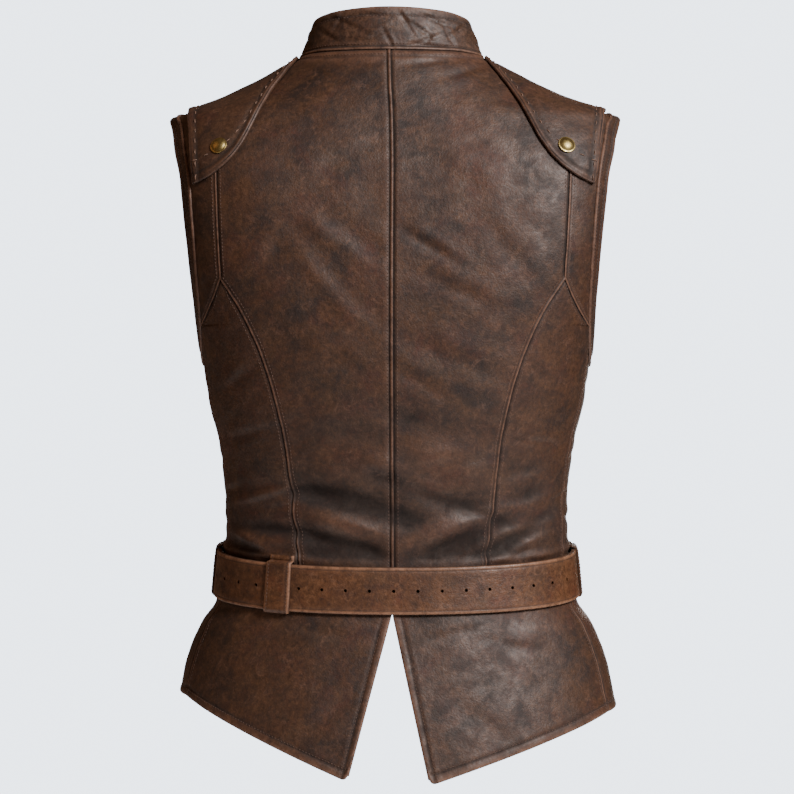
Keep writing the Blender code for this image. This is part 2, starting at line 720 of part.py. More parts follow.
def make_belt(material):
    """The strap, from the buckle's bar round the back, through the buckle and over its own end."""
    start = belt_angle(BUCKLE_HALF_WIDTH + BUCKLE_WIRE + 0.6)
    end = belt_angle(BELT_TAIL_X) - 2 * pi
    heights = [BELT_Z + BELT_WIDTH * share for share in (0.5, 0, -0.5)]
    angles = [between(start, end, j / BELT_SPANS) for j in range(BELT_SPANS + 1)]
    grids = []
    for thickness in (BELT_LEATHER, 0):
        grids.append([[on_belt_line(z, a, belt_lift(a) + thickness) for a in angles] for z in heights])
    belt = wall("belt", *grids, material)
    bm = bmesh.new()
    angle = belt_angle(9)
    matrix = form_normal(BELT_Z, angle).to_track_quat("Z", "Y").to_matrix().to_4x4()
    matrix.translation = on_belt_line(BELT_Z, angle, BELT_OVERLAP_LIFT + 1.8) * MM
    bmesh.ops.create_cone(bm, segments=12, radius1=4 * MM, radius2=4 * MM, depth=9 * MM, cap_ends=True, matrix=matrix)
    mesh = bpy.data.meshes.new("prong_hole")
    bm.to_mesh(mesh)
    bm.free()
    cutter = add_object("prong_hole", mesh, None, CUTTERS)
    cutter.hide_render = True
    cutter.display_type = "WIRE"
    cut = belt.modifiers.new("prong_hole", "BOOLEAN")
    cut.solver = "EXACT"
    cut.object = cutter
    return belt


def make_belt_loop(name, loop, material):
    """A strap that holds the belt to the vest, turned in above and below it."""
    over_tail = BELT_OVERLAP_LIFT - BELT_LIFT if name == "belt_loop_front" else 0
    clear = BELT_LIFT + BELT_LEATHER + 0.9 + over_tail
    half = BELT_WIDTH / 2
    outline = [(half + 2.4, 1.5), (half + 0.9, 3.0), (half + 0.8, clear - 0.8), (half - 1.2, clear + 0.2)]
    path = [(half + loop.tab_above, 1.3), *outline, (0, clear + 0.4)]
    path += [(-rise, lift) for rise, lift in [*reversed(outline), (half + loop.tab_below, 1.3)]]
    mid = radians(loop.angle)
    spread = loop.width / 2 / (form_point(BELT_Z, mid + 0.01) - form_point(BELT_Z, mid)).length * 0.01
    columns = 3
    angles = [between(mid - spread, mid + spread, j / columns) for j in range(columns + 1)]
    inner = [[on_belt_line(BELT_Z + rise, a, lift) for a in angles] for rise, lift in path]
    outer = []
    for i in range(len(path)):
        before, after = path[max(i - 1, 0)], path[min(i + 1, len(path) - 1)]
        along = Vector((after[0] - before[0], after[1] - before[1])).normalized()
        rise = path[i][0] + along.y * LOOP_LEATHER
        lift = path[i][1] - along.x * LOOP_LEATHER
        outer.append([on_belt_line(BELT_Z + rise, a, lift) for a in angles])
    return wall(name, outer, inner, material)


def buckle_lift(x):
    """The frame leans: its bar lies at the level of the belt's end, its far side on the strap."""
    bar, far_side = 2.8, 9.4
    return between(bar, far_side, (BUCKLE_HALF_WIDTH - x) / (2 * BUCKLE_HALF_WIDTH))


def make_buckle(material):
    """A rounded wire frame round the strap."""
    points = []
    steps = 3
    flat_x, flat_z = BUCKLE_HALF_WIDTH - BUCKLE_CORNER, BUCKLE_HALF_HEIGHT - BUCKLE_CORNER
    for quarter, (sx, sz) in enumerate(((1, 1), (-1, 1), (-1, -1), (1, -1))):
        for i in range(steps + 1):
            turn = pi / 2 * (quarter + i / steps)
            x = sx * flat_x + BUCKLE_CORNER * cos(turn)
            z = sz * flat_z + BUCKLE_CORNER * sin(turn)
            points.append(on_belt_line(BELT_Z + z, belt_angle(x), buckle_lift(x)))
    return tube("buckle_frame", points, BUCKLE_WIRE, material, closed=True, sides_step=2)


def make_prong(material):
    """The prong, from under the strap through its hole to the far side of the frame."""
    rest = buckle_lift(-BUCKLE_HALF_WIDTH) + BUCKLE_WIRE + PRONG_WIRE + 0.9
    route = [(BUCKLE_HALF_WIDTH - 2.7, 2.7), (12.8, 3.3), (9.5, 7.2), (6.2, 11.6), (2, 12.8), (-BUCKLE_HALF_WIDTH, rest),
             (-BUCKLE_HALF_WIDTH - 4, rest - 0.4)]
    return tube("buckle_prong", [on_belt_line(BELT_Z, belt_angle(x), lift) for x, lift in route], PRONG_WIRE, material)


for existing in list(bpy.data.objects):
    bpy.data.objects.remove(existing, do_unlink=True)
VEST = bpy.data.collections.new("lace_up_vest")
CUTTERS = bpy.data.collections.new("cutters")
for group in (VEST, CUTTERS):
    bpy.context.scene.collection.children.link(group)

vest_leather = leather("vest_leather", (0.075, 0.040, 0.026), 0.55)
trim_leather = leather("trim_leather", (0.060, 0.030, 0.020), 0.55)
belt_leather = leather("belt_leather", (0.130, 0.062, 0.034), 0.45)
lace_leather = leather("lace_leather", (0.045, 0.024, 0.016), 0.6)
old_brass = brass("old_brass", (0.55, 0.42, 0.20), 0.35)

for side_name, sign in SIDES.items():
    make_back(f"back_{side_name}", sign, vest_leather)
    make_side_back(f"side_back_{side_name}", sign, vest_leather)
    make_arm_strip(f"arm_strip_{side_name}", sign, vest_leather)
    front_panel = make_front(f"front_{side_name}", sign, vest_leather)
    cut_eyelet_holes(front_panel, sign)
    make_skirt_back(f"skirt_back_{side_name}", sign, vest_leather)
    make_skirt_front(f"skirt_front_{side_name}", sign, vest_leather)
    make_cap(f"shoulder_cap_{side_name}", sign, trim_leather)
    make_armhole_band(f"armhole_band_{side_name}", sign, trim_leather)
    make_snap(f"cap_snap_{side_name}", sign, old_brass)
    make_lace_knot(f"lace_knot_{side_name}", sign, lace_leather)
    for number, height in enumerate(EYELET_HEIGHTS, 1):
        make_eyelet(f"eyelet_{side_name}_{number}", height, sign, old_brass)
make_collar(trim_leather)
make_lace(lace_leather)
make_belt(belt_leather)
for loop_name, belt_loop in BELT_LOOPS.items():
    make_belt_loop(loop_name, belt_loop, belt_leather if loop_name == "belt_loop_back" else trim_leather)
make_buckle(old_brass)
make_prong(old_brass)
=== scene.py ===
from collections import namedtuple
from math import cos, pi, radians, sin

import bpy
import numpy as np
from mathutils import Matrix, Vector


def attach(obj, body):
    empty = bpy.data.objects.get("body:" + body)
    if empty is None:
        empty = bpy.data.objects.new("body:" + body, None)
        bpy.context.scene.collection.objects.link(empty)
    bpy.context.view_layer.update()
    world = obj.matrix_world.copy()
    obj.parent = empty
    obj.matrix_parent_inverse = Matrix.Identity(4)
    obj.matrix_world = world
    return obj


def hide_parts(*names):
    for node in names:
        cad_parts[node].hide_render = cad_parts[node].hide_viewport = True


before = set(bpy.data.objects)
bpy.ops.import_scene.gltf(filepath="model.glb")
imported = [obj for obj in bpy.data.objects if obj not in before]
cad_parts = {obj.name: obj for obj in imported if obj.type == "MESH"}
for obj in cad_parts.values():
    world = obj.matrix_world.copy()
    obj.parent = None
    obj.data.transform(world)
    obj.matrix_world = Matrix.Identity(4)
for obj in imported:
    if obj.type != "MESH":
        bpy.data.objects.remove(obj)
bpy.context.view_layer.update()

bpy.ops.object.select_all(action="DESELECT")

# The view
# The back of the vest at the height of the shoulder blades, a little from its right, under soft light
# that comes mostly from the right, with a pale round floor below the hanging vest.
aim = Vector((-0.0005, 0, -0.3396))
camera_distance, camera_turn, camera_height = 2.6, radians(2.2), -0.245


def linked(name, data):
    """A new object in the scene, made from its mesh, curve, lamp or camera."""
    thing = bpy.data.objects.new(name, data)
    bpy.context.scene.collection.objects.link(thing)
    return thing


camera = linked("camera", bpy.data.cameras.new("camera"))
camera.location.x = aim.x - camera_distance * sin(camera_turn)
camera.location.y = camera_distance * cos(camera_turn)
camera.location.z = camera_height
camera.rotation_euler = (aim - camera.location).to_track_quat("-Z", "Y").to_euler()
camera.data.sensor_width = 36
camera.data.lens = 118.6
bpy.context.scene.camera = camera


def wired(tree, node, inputs):
    """Sets a node's inputs, by name or number, to numbers or colours, or links them to other nodes."""
    for name, value in inputs.items():
        socket = node.inputs[name]
        if isinstance(value, bpy.types.NodeSocket):
            tree.links.new(value, socket)
        else:
            socket.default_value = (*value, 1) if socket.type == "RGBA" else value
    return node


studio = bpy.data.worlds.new("studio")
bpy.context.scene.world = studio
studio.use_nodes = True
room = studio.node_tree
dim = wired(room, room.nodes["Background"], {"Color": (1.0, 0.62, 0.38), "Strength": 0.13})
backdrop = room.nodes.new("ShaderNodeBackground")
wired(room, backdrop, {"Color": (0.84, 0.92, 1.04), "Strength": 3.8})
seen = room.nodes.new("ShaderNodeLightPath")
choice = room.nodes.new("ShaderNodeMixShader")
wired(room, choice, {0: seen.outputs["Is Camera Ray"], 1: dim.outputs[0], 2: backdrop.outputs[0]})
wired(room, room.nodes["World Output"], {"Surface": choice.outputs[0]})


def soft_light(name, place, size, watts, colour):
    """A large soft lamp turned to the middle of the vest."""
    lamp = bpy.data.lights.new(name, "AREA")
    lamp.shape = "SQUARE"
    lamp.size = size
    lamp.energy = watts
    lamp.color = colour
    holder = linked(name, lamp)
    holder.location = place
    holder.rotation_euler = (aim - holder.location).to_track_quat("-Z", "Y").to_euler()


soft_light("key_light", (-1.8, 2.03, 1.4), 1.0, 186, (1.0, 0.98, 0.98))
soft_light("fill_light", (2.3, 0.8, 1.3), 1.4, 7.5, (1.0, 0.50, 0.26))
soft_light("front_light", (-0.15, -2.65, -0.25), 1.6, 60, (1.0, 0.95, 0.9))

bpy.ops.mesh.primitive_cylinder_add(vertices=96, radius=1.05, depth=0.02, location=(0, 0, -1.02))
floor = bpy.context.object
floor.name = "floor"
rounding = floor.modifiers.new("rounding", "BEVEL")
rounding.width = 0.008
rounding.segments = 3
bpy.ops.object.modifier_apply(modifier="rounding")


def new_finish(name):
    """A new material, its nodes and its Principled shader."""
    material = bpy.data.materials.new(name)
    material.use_nodes = True
    return material, material.node_tree, material.node_tree.nodes["Principled BSDF"]


pale_floor, tree, shader = new_finish("pale_floor")
glow = {"Emission Color": (0.92, 0.90, 0.88), "Emission Strength": 0.35}
wired(tree, shader, {"Base Color": (0.84, 0.86, 0.88), "Roughness": 0.8, **glow})
floor.data.materials.append(pale_floor)
bpy.ops.object.select_all(action="DESELECT")

# The back panels
# Two long panels of oiled, tumbled leather, 2 mm thick, cut to the hollow of the back. The left one laps
# over the right one down the spine in a raised seam, and the arm strips lap over both at the top.
MM = 0.001
LEATHER = 2.0
SEAM_LAP = 1.5
Section = namedtuple("Section", "z half_width back front back_power")
SECTIONS = [
    Section(0, 87, 62, 50, 2.0),
    Section(-10, 97.5, 69, 53, 2.0),
    Section(-22, 117, 75.5, 57, 2.0),
    Section(-40, 153.5, 84, 62, 2.05),
    Section(-52, 182, 89, 66, 2.15),
    Section(-60, 208, 92, 69, 2.25),
    Section(-68, 221, 95, 73, 2.4),
    Section(-90, 221, 103.5, 84, 3.0),
    Section(-125, 215.5, 113.5, 102, 3.8),
    Section(-185, 207, 122.5, 122, 3.8),
    Section(-245, 198.5, 126.5, 132, 3.2),
    Section(-295, 192, 126, 135, 2.7),
    Section(-345, 185.5, 122, 133, 2.45),
    Section(-385, 176, 116, 129, 2.35),
    Section(-453, 169.5, 107, 121, 2.25),
    Section(-498, 171, 106, 119, 2.2),
    Section(-521, 175.5, 108, 120.5, 2.2),
    Section(-543, 180, 111, 123, 2.2),
    Section(-563, 194, 116, 128, 2.15),
    Section(-600, 209, 126, 136, 2.1),
    Section(-633, 216, 135, 143, 2.1),
    Section(-700, 231, 151, 156, 2.1),
]
FRONT_POWER = 2.3
NECK_LEAN = [(-700, 0), (-125, 0), (-80, 0.9), (-55, 2), (-40, 3.2), (0, 5)]
WAIST_Z, UNDERARM_Z, SHOULDER_TIP_Z = -518, -295, -65
SHOULDER_LINE, SIDE_SEAM = pi / 2, radians(78)
ARM_STRIP_TOP_Z, LONG_SEAM_TOP_Z = -46, -222
ARM_STRIP_SEAM = [(ARM_STRIP_TOP_Z, 172), (-126, 170), (LONG_SEAM_TOP_Z, 165)]
LONG_SEAM = [
    (LONG_SEAM_TOP_Z, 165), (-256, 143), (-295, 125), (-340, 111), (-388, 101.5), (-456, 94.5), (WAIST_Z, 87),
]
SIDES = {"left": 1, "right": -1}

# Folds where the leather is drawn in above the belt, each by its place left or right of the middle. A
# negative depth is a ridge.
Fold = namedtuple("Fold", "place z slope half_length half_width depth")
FOLD_STRENGTH, FOLDS_END_Z = 1.25, -492
FOLDS = [
    Fold(80, -430, 6, 22, 9.0, 4.2),
    Fold(41, -437, 11, 42, 13, 4.6),
    Fold(79, -471, 24, 16, 7.6, 3.0),
    Fold(52, -479, 12, 26, 9.1, 4.2),
    Fold(20, -487, 26, 18, 9.1, 3.4),
    Fold(64, -490, 6, 24, 7.6, 3.0),
    Fold(120, -465, 3, 24, 6.1, 3.0),
    Fold(126, -431, -17, 30, 4.4, -1.8),
    Fold(117, -476, 3, 20, 6.1, -1.8),
    Fold(136, -478, 24, 26, 5.5, -2.6),
    Fold(140, -488, 20, 24, 6.1, 2.4),
    Fold(49, -457, 14, 38, 9.8, -2.8),
    Fold(8, -414, 9, 20, 7.7, 2.0),
    Fold(-58, -479, -26, 36, 9.1, 4.6),
    Fold(-58, -436, 17, 34, 9.1, 4.2),
    Fold(-12, -452, 5, 18, 9.1, 2.6),
    Fold(-111, -477, -30, 20, 7.6, 3.0),
    Fold(-140, -458, -36, 22, 6.7, 2.4),
    Fold(-130, -432, -25, 22, 8.4, 3.0),
    Fold(-106, -457, 15, 11, 5.0, 2.2),
    Fold(-56, -399, -10, 28, 7.2, 1.6),
    Fold(-127, -407, -12, 24, 7.2, 1.6),
    Fold(-41, -425, 23, 36, 7.7, -2.2),
    Fold(-52, -462, -18, 38, 8.5, -2.6),
    Fold(-114, -442, -10, 22, 6.6, -2.0),
    Fold(-130, -463, -14, 30, 5.5, -1.8),
    Fold(-134, -475, -14, 26, 5.5, -1.8),
    Fold(-84, -489, -12, 26, 7.6, 2.6),
    Fold(34, -372, 8, 44, 12.5, 1.4),
    Fold(-14, -356, 16, 34, 11, 1.7),
    Fold(-46, -394, 14, 44, 15, -2.6),
    Fold(8, -400, 8, 24, 10, -2.4),
]

# Lesser creases, each a soft trough with a ridge on its upper side, by the face that it lies on. The
# place is measured from the middle plane on the back and front, and from the shoulder line on a side.
CREASES = {
    "back": [
        Fold(-136, -380, 12, 24, 4.4, 1.0),
        Fold(138, -372, -14, 24, 4.6, 0.9),
        Fold(150, -320, -34, 22, 5.0, 0.9),
        Fold(-150, -318, 34, 22, 5.0, 0.9),
        Fold(110, -196, -52, 40, 9.0, 0.9),
        Fold(-112, -200, 50, 40, 9.0, 0.9),
        Fold(60, -120, -30, 46, 11.0, 0.8),
        Fold(-66, -128, 34, 46, 11.0, 0.8),
        Fold(30, -14, 6, 26, 3.6, 0.9),
        Fold(-36, -13, -8, 24, 3.6, 0.9),
        Fold(-70, -22, -20, 20, 3.6, 0.9),
        Fold(72, -24, 22, 20, 3.6, 0.8),
        Fold(44, 24, 26, 17, 1.9, 1.4),
        Fold(16, 14, -28, 15, 1.8, 1.2),
        Fold(10, 31, 10, 20, 1.9, 1.1),
        Fold(-12, 25, 58, 12, 1.8, 1.3),
        Fold(-24, 20, 34, 17, 1.9, 1.6),
        Fold(-34, 10, -20, 18, 1.9, 1.5),
        Fold(-44, 27, 22, 16, 1.9, 1.6),
        Fold(-54, 12, 62, 11, 1.8, 1.3),
        Fold(-62, 20, -38, 13, 2.0, 1.5),
        Fold(-30, 4, 6, 22, 1.8, 1.1),
        Fold(64, 14, 36, 13, 2.0, 1.2),
        Fold(56, 26, -58, 10, 1.8, 1.0),
        Fold(34, 8, 8, 18, 1.8, 1.1),
        Fold(6, 10, 64, 10, 1.8, 1.0),
        Fold(52, -188, 35, 50, 8.5, -1.2),
        Fold(68, -222, 50, 36, 7.5, -0.9),
        Fold(30, -262, 40, 34, 8.0, -0.9),
        Fold(-36, -192, 31, 26, 4.6, 1.4),
        Fold(-66, -236, 24, 34, 7.0, 1.1),
        Fold(-60, -300, 22, 44, 9.0, 1.3),
        Fold(62, -300, 14, 44, 9.0, 1.1),
        Fold(-20, -318, 30, 30, 6.0, 1.1),
        Fold(74, -446, 8, 16, 3.0, 0.9),
        Fold(30, -466, 22, 18, 3.2, 0.9),
        Fold(104, -442, -8, 18, 3.0, 0.8),
        Fold(-30, -466, -22, 18, 3.0, 0.9),
        Fold(-84, -448, 16, 16, 3.0, 0.8),
        Fold(-122, -488, -24, 18, 3.2, 1.0),
        Fold(70, -560, 10, 26, 4.4, 1.0),
        Fold(120, -572, -16, 26, 5.0, 1.1),
        Fold(-60, -562, -12, 28, 4.6, 1.0),
        Fold(-120, -576, 14, 30, 5.2, 1.2),
        Fold(60, -640, -40, 30, 9.0, 0.9),
        Fold(-80, -640, 36, 34, 9.0, 0.9),
    ],
    "left": [
        Fold(10, 12, -24, 16, 2.2, 1.2),
        Fold(-26, 14, 40, 14, 2.2, 1.1),
        Fold(40, -430, 14, 26, 4.0, 1.1),
        Fold(10, -462, -8, 30, 4.2, 1.2),
        Fold(-34, -446, 16, 30, 4.2, 1.0),
        Fold(20, -400, 6, 30, 5.2, 0.8),
        Fold(0, -330, -12, 24, 6.0, 0.8),
        Fold(-60, -410, 20, 28, 5.0, 0.8),
    ],
    "right": [
        Fold(6, 10, 26, 16, 2.2, 1.2),
        Fold(-30, 16, -40, 14, 2.2, 1.1),
        Fold(42, -436, -12, 26, 4.0, 1.1),
        Fold(6, -458, 10, 30, 4.2, 1.2),
        Fold(-38, -448, -16, 30, 4.2, 1.0),
        Fold(16, -396, -8, 30, 5.2, 0.8),
        Fold(2, -328, 10, 24, 6.0, 0.8),
        Fold(-58, -412, -18, 28, 5.0, 0.8),
    ],
    "front": [
        Fold(60, -452, 12, 34, 5.0, 1.8),
        Fold(92, -474, -10, 30, 4.4, 1.7),
        Fold(110, -430, 16, 32, 5.0, 1.5),
        Fold(52, -400, 8, 30, 6.0, 1.1),
        Fold(-58, -456, -12, 34, 5.0, 1.8),
        Fold(-90, -470, 12, 30, 4.4, 1.7),
        Fold(-112, -426, -16, 32, 5.0, 1.5),
        Fold(-50, -404, -8, 30, 6.0, 1.1),
        Fold(96, -210, 44, 40, 9.0, 1.1),
        Fold(-98, -206, -46, 40, 9.0, 1.1),
        Fold(90, -575, 12, 30, 6.0, 1.1),
        Fold(-92, -578, -12, 30, 6.0, 1.1),
    ],
}


def smooth_curve(points):
    """A monotone cubic through (position, value) points, straight beyond its ends."""
    at, value = np.array(sorted(points), float).T
    rise = np.diff(value) / np.diff(at)
    same_way = rise[:-1] * rise[1:] > 0
    total = np.where(same_way, rise[:-1] + rise[1:], 1)
    inner = np.where(same_way, 2 * rise[:-1] * rise[1:] / total, 0)
    slope = np.concatenate([rise[:1], inner, rise[-1:]])

    def evaluate(t):
        t = np.asarray(t, float)
        i = np.clip(np.searchsorted(at, t, side="right") - 1, 0, len(at) - 2)
        span = at[i + 1] - at[i]
        s = (t - at[i]) / span
        start = (1 + 2 * s) * (1 - s) ** 2 * value[i] + s * (1 - s) ** 2 * span * slope[i]
        end = s * s * (3 - 2 * s) * value[i + 1] + s * s * (s - 1) * span * slope[i + 1]
        below = value[0] + slope[0] * (t - at[0])
        above = value[-1] + slope[-1] * (t - at[-1])
        return np.where(t <= at[0], below, np.where(t >= at[-1], above, start + end))

    return evaluate


half_width = smooth_curve([(s.z, s.half_width) for s in SECTIONS])
back_reach = smooth_curve([(s.z, s.back) for s in SECTIONS])
front_reach = smooth_curve([(s.z, s.front) for s in SECTIONS])
back_power = smooth_curve([(s.z, s.back_power) for s in SECTIONS])
ridge_height = smooth_curve([(s.half_width, s.z) for s in SECTIONS if s.z > -80])
neck_lean = smooth_curve(NECK_LEAN)
arm_strip_seam = smooth_curve(ARM_STRIP_SEAM)
long_seam = smooth_curve(LONG_SEAM)


def laid_along(fold, place, z):
    """How far points lie along a fold and across it, from its middle."""
    slope = radians(fold.slope)
    along = (place - fold.place) * cos(slope) + (z - fold.z) * sin(slope)
    return along, (z - fold.z) * cos(slope) - (place - fold.place) * sin(slope)


def fold_depth(x, z):
    """How far the main folds sink the leather of the back, faded out behind the belt."""
    total = np.zeros(np.shape(x))
    for fold in FOLDS:
        along, across = laid_along(fold, x, z)
        total += fold.depth * np.exp(-((along / fold.half_length) ** 2) - (across / fold.half_width) ** 2)
    return FOLD_STRENGTH * total / (1 + np.exp((FOLDS_END_Z - z) / 2))


def form(z, angle, folds=True):
    """Points of the leather's outer face: the angle is 0 at the centre back and pi at the front."""
    z, angle = np.broadcast_arrays(np.asarray(z, float), np.asarray(angle, float))
    behind = np.cos(angle) > 0
    power = np.where(behind, back_power(z), FRONT_POWER)
    reach = np.where(behind, back_reach(z), front_reach(z))
    wide, deep = np.abs(np.sin(angle)) / half_width(z), np.abs(np.cos(angle)) / reach
    r = (wide**power + deep**power) ** (-1 / power)
    if folds:
        r = r - np.where(behind, fold_depth(r * np.sin(angle), z), 0)
    return np.stack([r * np.sin(angle) + neck_lean(z), r * np.cos(angle), z], axis=-1)


def unit(vectors):
    """The same directions with length 1."""
    return vectors / np.maximum(np.linalg.norm(vectors, axis=-1, keepdims=True), 1e-9)


def form_normal(z, angle, folds=True):
    """The directions out of the leather."""
    up = form(z + 1.0, angle, folds) - form(z - 1.0, angle, folds)
    round_body = form(z, angle + 0.008, folds) - form(z, angle - 0.008, folds)
    return unit(np.cross(up, round_body))


def back_angle(x, z):
    """The angle at which the back lies a width from the middle."""
    share = np.minimum(1.0, np.abs(x) / half_width(z)) ** back_power(z)
    return np.arctan2(x, back_reach(z) * (1 - share) ** (1 / back_power(z)))


def front_angle(x, z):
    """The same on the front."""
    share = np.minimum(1.0, np.abs(x) / half_width(z)) ** FRONT_POWER
    return np.arctan2(x, -front_reach(z) * (1 - share) ** (1 / FRONT_POWER))


def side_angle(y, z):
    """The angle at which the left side lies a depth behind the shoulder line."""
    behind = y > 0
    power = np.where(behind, back_power(z), FRONT_POWER)
    reach = np.where(behind, back_reach(z), front_reach(z))
    share = (np.abs(y) / reach) ** power
    return np.arctan2(half_width(z) * (1 - share) ** (1 / power), y)


BELT_Z, BELT_WIDTH, BELT_TILT = -521, 45, 0.08
ROLL_HEIGHT = 2.3


def belt_roll(points):
    """The height of the low roll that the slanted belt pushes up along its upper edge at the sides."""
    x, y, z = np.moveaxis(points, -1, 0)
    above = z - (BELT_Z + BELT_WIDTH / 2) - BELT_TILT * (105 - y)
    sides = np.clip((np.abs(x) - 50) / 60, 0, 1) * (0.85 + 0.3 * np.sin(x / 9 + y / 13))
    return ROLL_HEIGHT * sides * np.exp(-(((above - 5) / 3.8) ** 2)) * np.clip((above + 2) / 3, 0, 1)


def crease_lift(points, normal):
    """The lesser creases and the slight unevenness of worn leather, as heights off the form."""
    x, y, z = np.moveaxis(points, -1, 0)
    out_x, out_y = normal[..., 0], normal[..., 1]
    facing = {"back": out_y, "front": -out_y, "left": out_x, "right": -out_x}
    total = 0.35 * np.sin(x / 17 + 1.7 * np.sin(z / 41)) * np.sin(z / 23 + 1.3 * np.sin(x / 37 + y / 29))
    total += 0.22 * np.sin(x / 7.3 + z / 11 + 2 * np.sin(z / 19)) * np.sin(y / 9.1 - z / 7.7)
    for face, creases in CREASES.items():
        shown = np.clip((facing[face] - 0.15) / 0.35, 0, 1)
        for crease in creases:
            along, across = laid_along(crease, x if face in ("back", "front") else y, z)
            across = (across + 0.12 * crease.half_width * np.sin(along / 6)) / crease.half_width
            trough = np.exp(-(across**2)) - 0.55 * np.exp(-(((across - 1.8) / 1.2) ** 2))
            total -= crease.depth * trough * shown * np.exp(-((along / crease.half_length) ** 2))
    return total + belt_roll(points)


# How a piece is shaped near an edge, by the distance from it in mm: its lift off the form, how far its
# finish is made pale, partly by rubbed wear and partly as a painted highlight on raised beads, and how
# much painted shade darkens it in a groove or where it lies under another piece.
Edge = namedtuple("Edge", "lift wear shade")
FAR_IN = 60


def edge(lift, wear, shade):
    """An edge from three lists of (distance, value), each zero far in from the edge."""
    return Edge(*(smooth_curve([*points, (FAR_IN, 0), (FAR_IN + 1, 0)]) for points in (lift, wear, shade)))


LAPS_OVER = edge(
    lift=[
        (0, 0.5), (0.5, 0.95), (1.4, 1.05), (2.4, 0.75), (3.3, -0.3), (4.1, -0.5), (5.2, 0.05),
        (7.5, 0.18), (12, 0),
    ],
    wear=[(0, 0.3), (1.0, 0.8), (2.0, 0.5), (2.8, 0), (5.0, 0.15), (7, 0.2), (10, 0)],
    shade=[(0, 0.4), (0.6, 0), (2.4, 0), (3.4, 0.9), (4.2, 0.4), (5.2, 0), (7, 0)],
)
THIN_LAP = edge(
    lift=[
        (0, 0.05), (0.4, 0.35), (1.0, 0.45), (1.7, 0.2), (2.4, -0.3), (3.2, -0.15), (4.5, 0.1),
        (7.5, 0.12), (12, 0),
    ],
    wear=[(0, 0.6), (0.7, 1.0), (1.5, 0.6), (2.1, 0), (3.6, 0.1), (4.3, 0.4), (5.2, 0), (6, 0)],
    shade=[(0, 0.5), (0.4, 0), (1.6, 0), (2.5, 0.6), (3.4, 0), (5, 0), (6, 0)],
)
LIES_UNDER = edge(
    lift=[(0, -0.9), (1.2, -0.8), (2.4, -0.35), (4, 0.12), (8, 0.1), (12, 0)],
    wear=[(0, 0), (3, 0), (5, 0.12), (9, 0), (10, 0)],
    shade=[(0, 1), (1.6, 0.9), (3, 0.35), (4.5, 0), (6, 0)],
)
FREE_EDGE = edge(
    lift=[
        (0, -0.75), (0.4, -0.15), (1.2, 0.35), (3, 0.5), (6, 0.25), (8, -0.45), (9, -0.4),
        (11, 0.15), (15, 0),
    ],
    wear=[(0, 1), (1.5, 0.85), (3.5, 0.35), (6, 0.1), (7.5, 0), (9, 0)],
    shade=[(0, 0), (6.4, 0), (8.4, 0.7), (10.2, 0), (11, 0)],
)
BELOW_COLLAR = edge(
    lift=[(0, -0.9), (1.2, -0.8), (2.4, -0.5), (4, 0.1), (7, 0.3), (10, -0.25), (13, 0.2), (18, 0)],
    wear=[(0, 0), (2.5, 0.3), (6, 0.5), (9, 0.2), (12, 0.4), (18, 0.1), (26, 0)],
    shade=[(0, 1), (1.6, 0.9), (3, 0.25), (5, 0), (8, 0), (10, 0.4), (12, 0), (14, 0)],
)
HIDDEN_EDGE = edge(
    lift=[(0, -0.6), (3, -0.2), (6, 0), (8, 0)],
    wear=[(0, 0), (1, 0)],
    shade=[(0, 0.8), (5, 0), (6, 0)],
)

NEAR_SEAM = [0, 0.5, 1.1, 1.8, 2.6, 3.3, 4.1, 5.0, 6.2, 8.0, 10.5]
NEAR_FREE = [0, 0.35, 0.9, 1.7, 3.0, 4.6, 6.2, 7.4, 8.4, 9.4, 11.0, 13.5]


def lengths_along(points):
    """The length from the first point to each point of a line, or of each row of a grid."""
    steps = np.linalg.norm(np.diff(points, axis=-2), axis=-1)
    return np.concatenate([np.zeros((*steps.shape[:-1], 1)), np.cumsum(steps, axis=-1)], axis=-1)


def squareness(line, inward):
    """The sine of the angle between an edge and the rows that leave it, where they lean along it."""
    slant = np.sum(unit(np.gradient(line, axis=0)) * unit(inward), axis=1)
    return np.sqrt(np.clip(1 - slant**2, 0.12, 1))


def distance_in(points):
    """How far the points of a grid lie from the edge that its first column makes."""
    return lengths_along(points) * squareness(points[:, 0], points[:, 1] - points[:, 0])[:, None]


def distances_in(points):
    """The same from all four edges of a grid."""
    return {
        "start": distance_in(points),
        "end": distance_in(points[:, ::-1])[:, ::-1],
        "top": distance_in(points.transpose(1, 0, 2)).T,
        "bottom": distance_in(points[::-1].transpose(1, 0, 2)).T[::-1],
    }


def spaced(total, near_start, near_end, count):
    """Positions from 0 to total: close together near both ends and even between."""
    near_start, near_end = np.asarray(near_start, float), np.asarray(near_end, float)
    fit = min(1.0, 0.8 * total / (near_start[-1] + near_end[-1]))
    start, end = near_start * fit, near_end * fit
    middle = np.linspace(start[-1], total - end[-1], count + 2)[1:-1]
    return np.concatenate([start, middle, (total - end)[::-1]])


def past(z, angle, distance):
    """The angle at a distance in mm further round the body."""
    speed = np.linalg.norm(form(z, angle + 0.01, folds=False) - form(z, angle, folds=False), axis=-1) / 0.01
    return angle + distance / speed


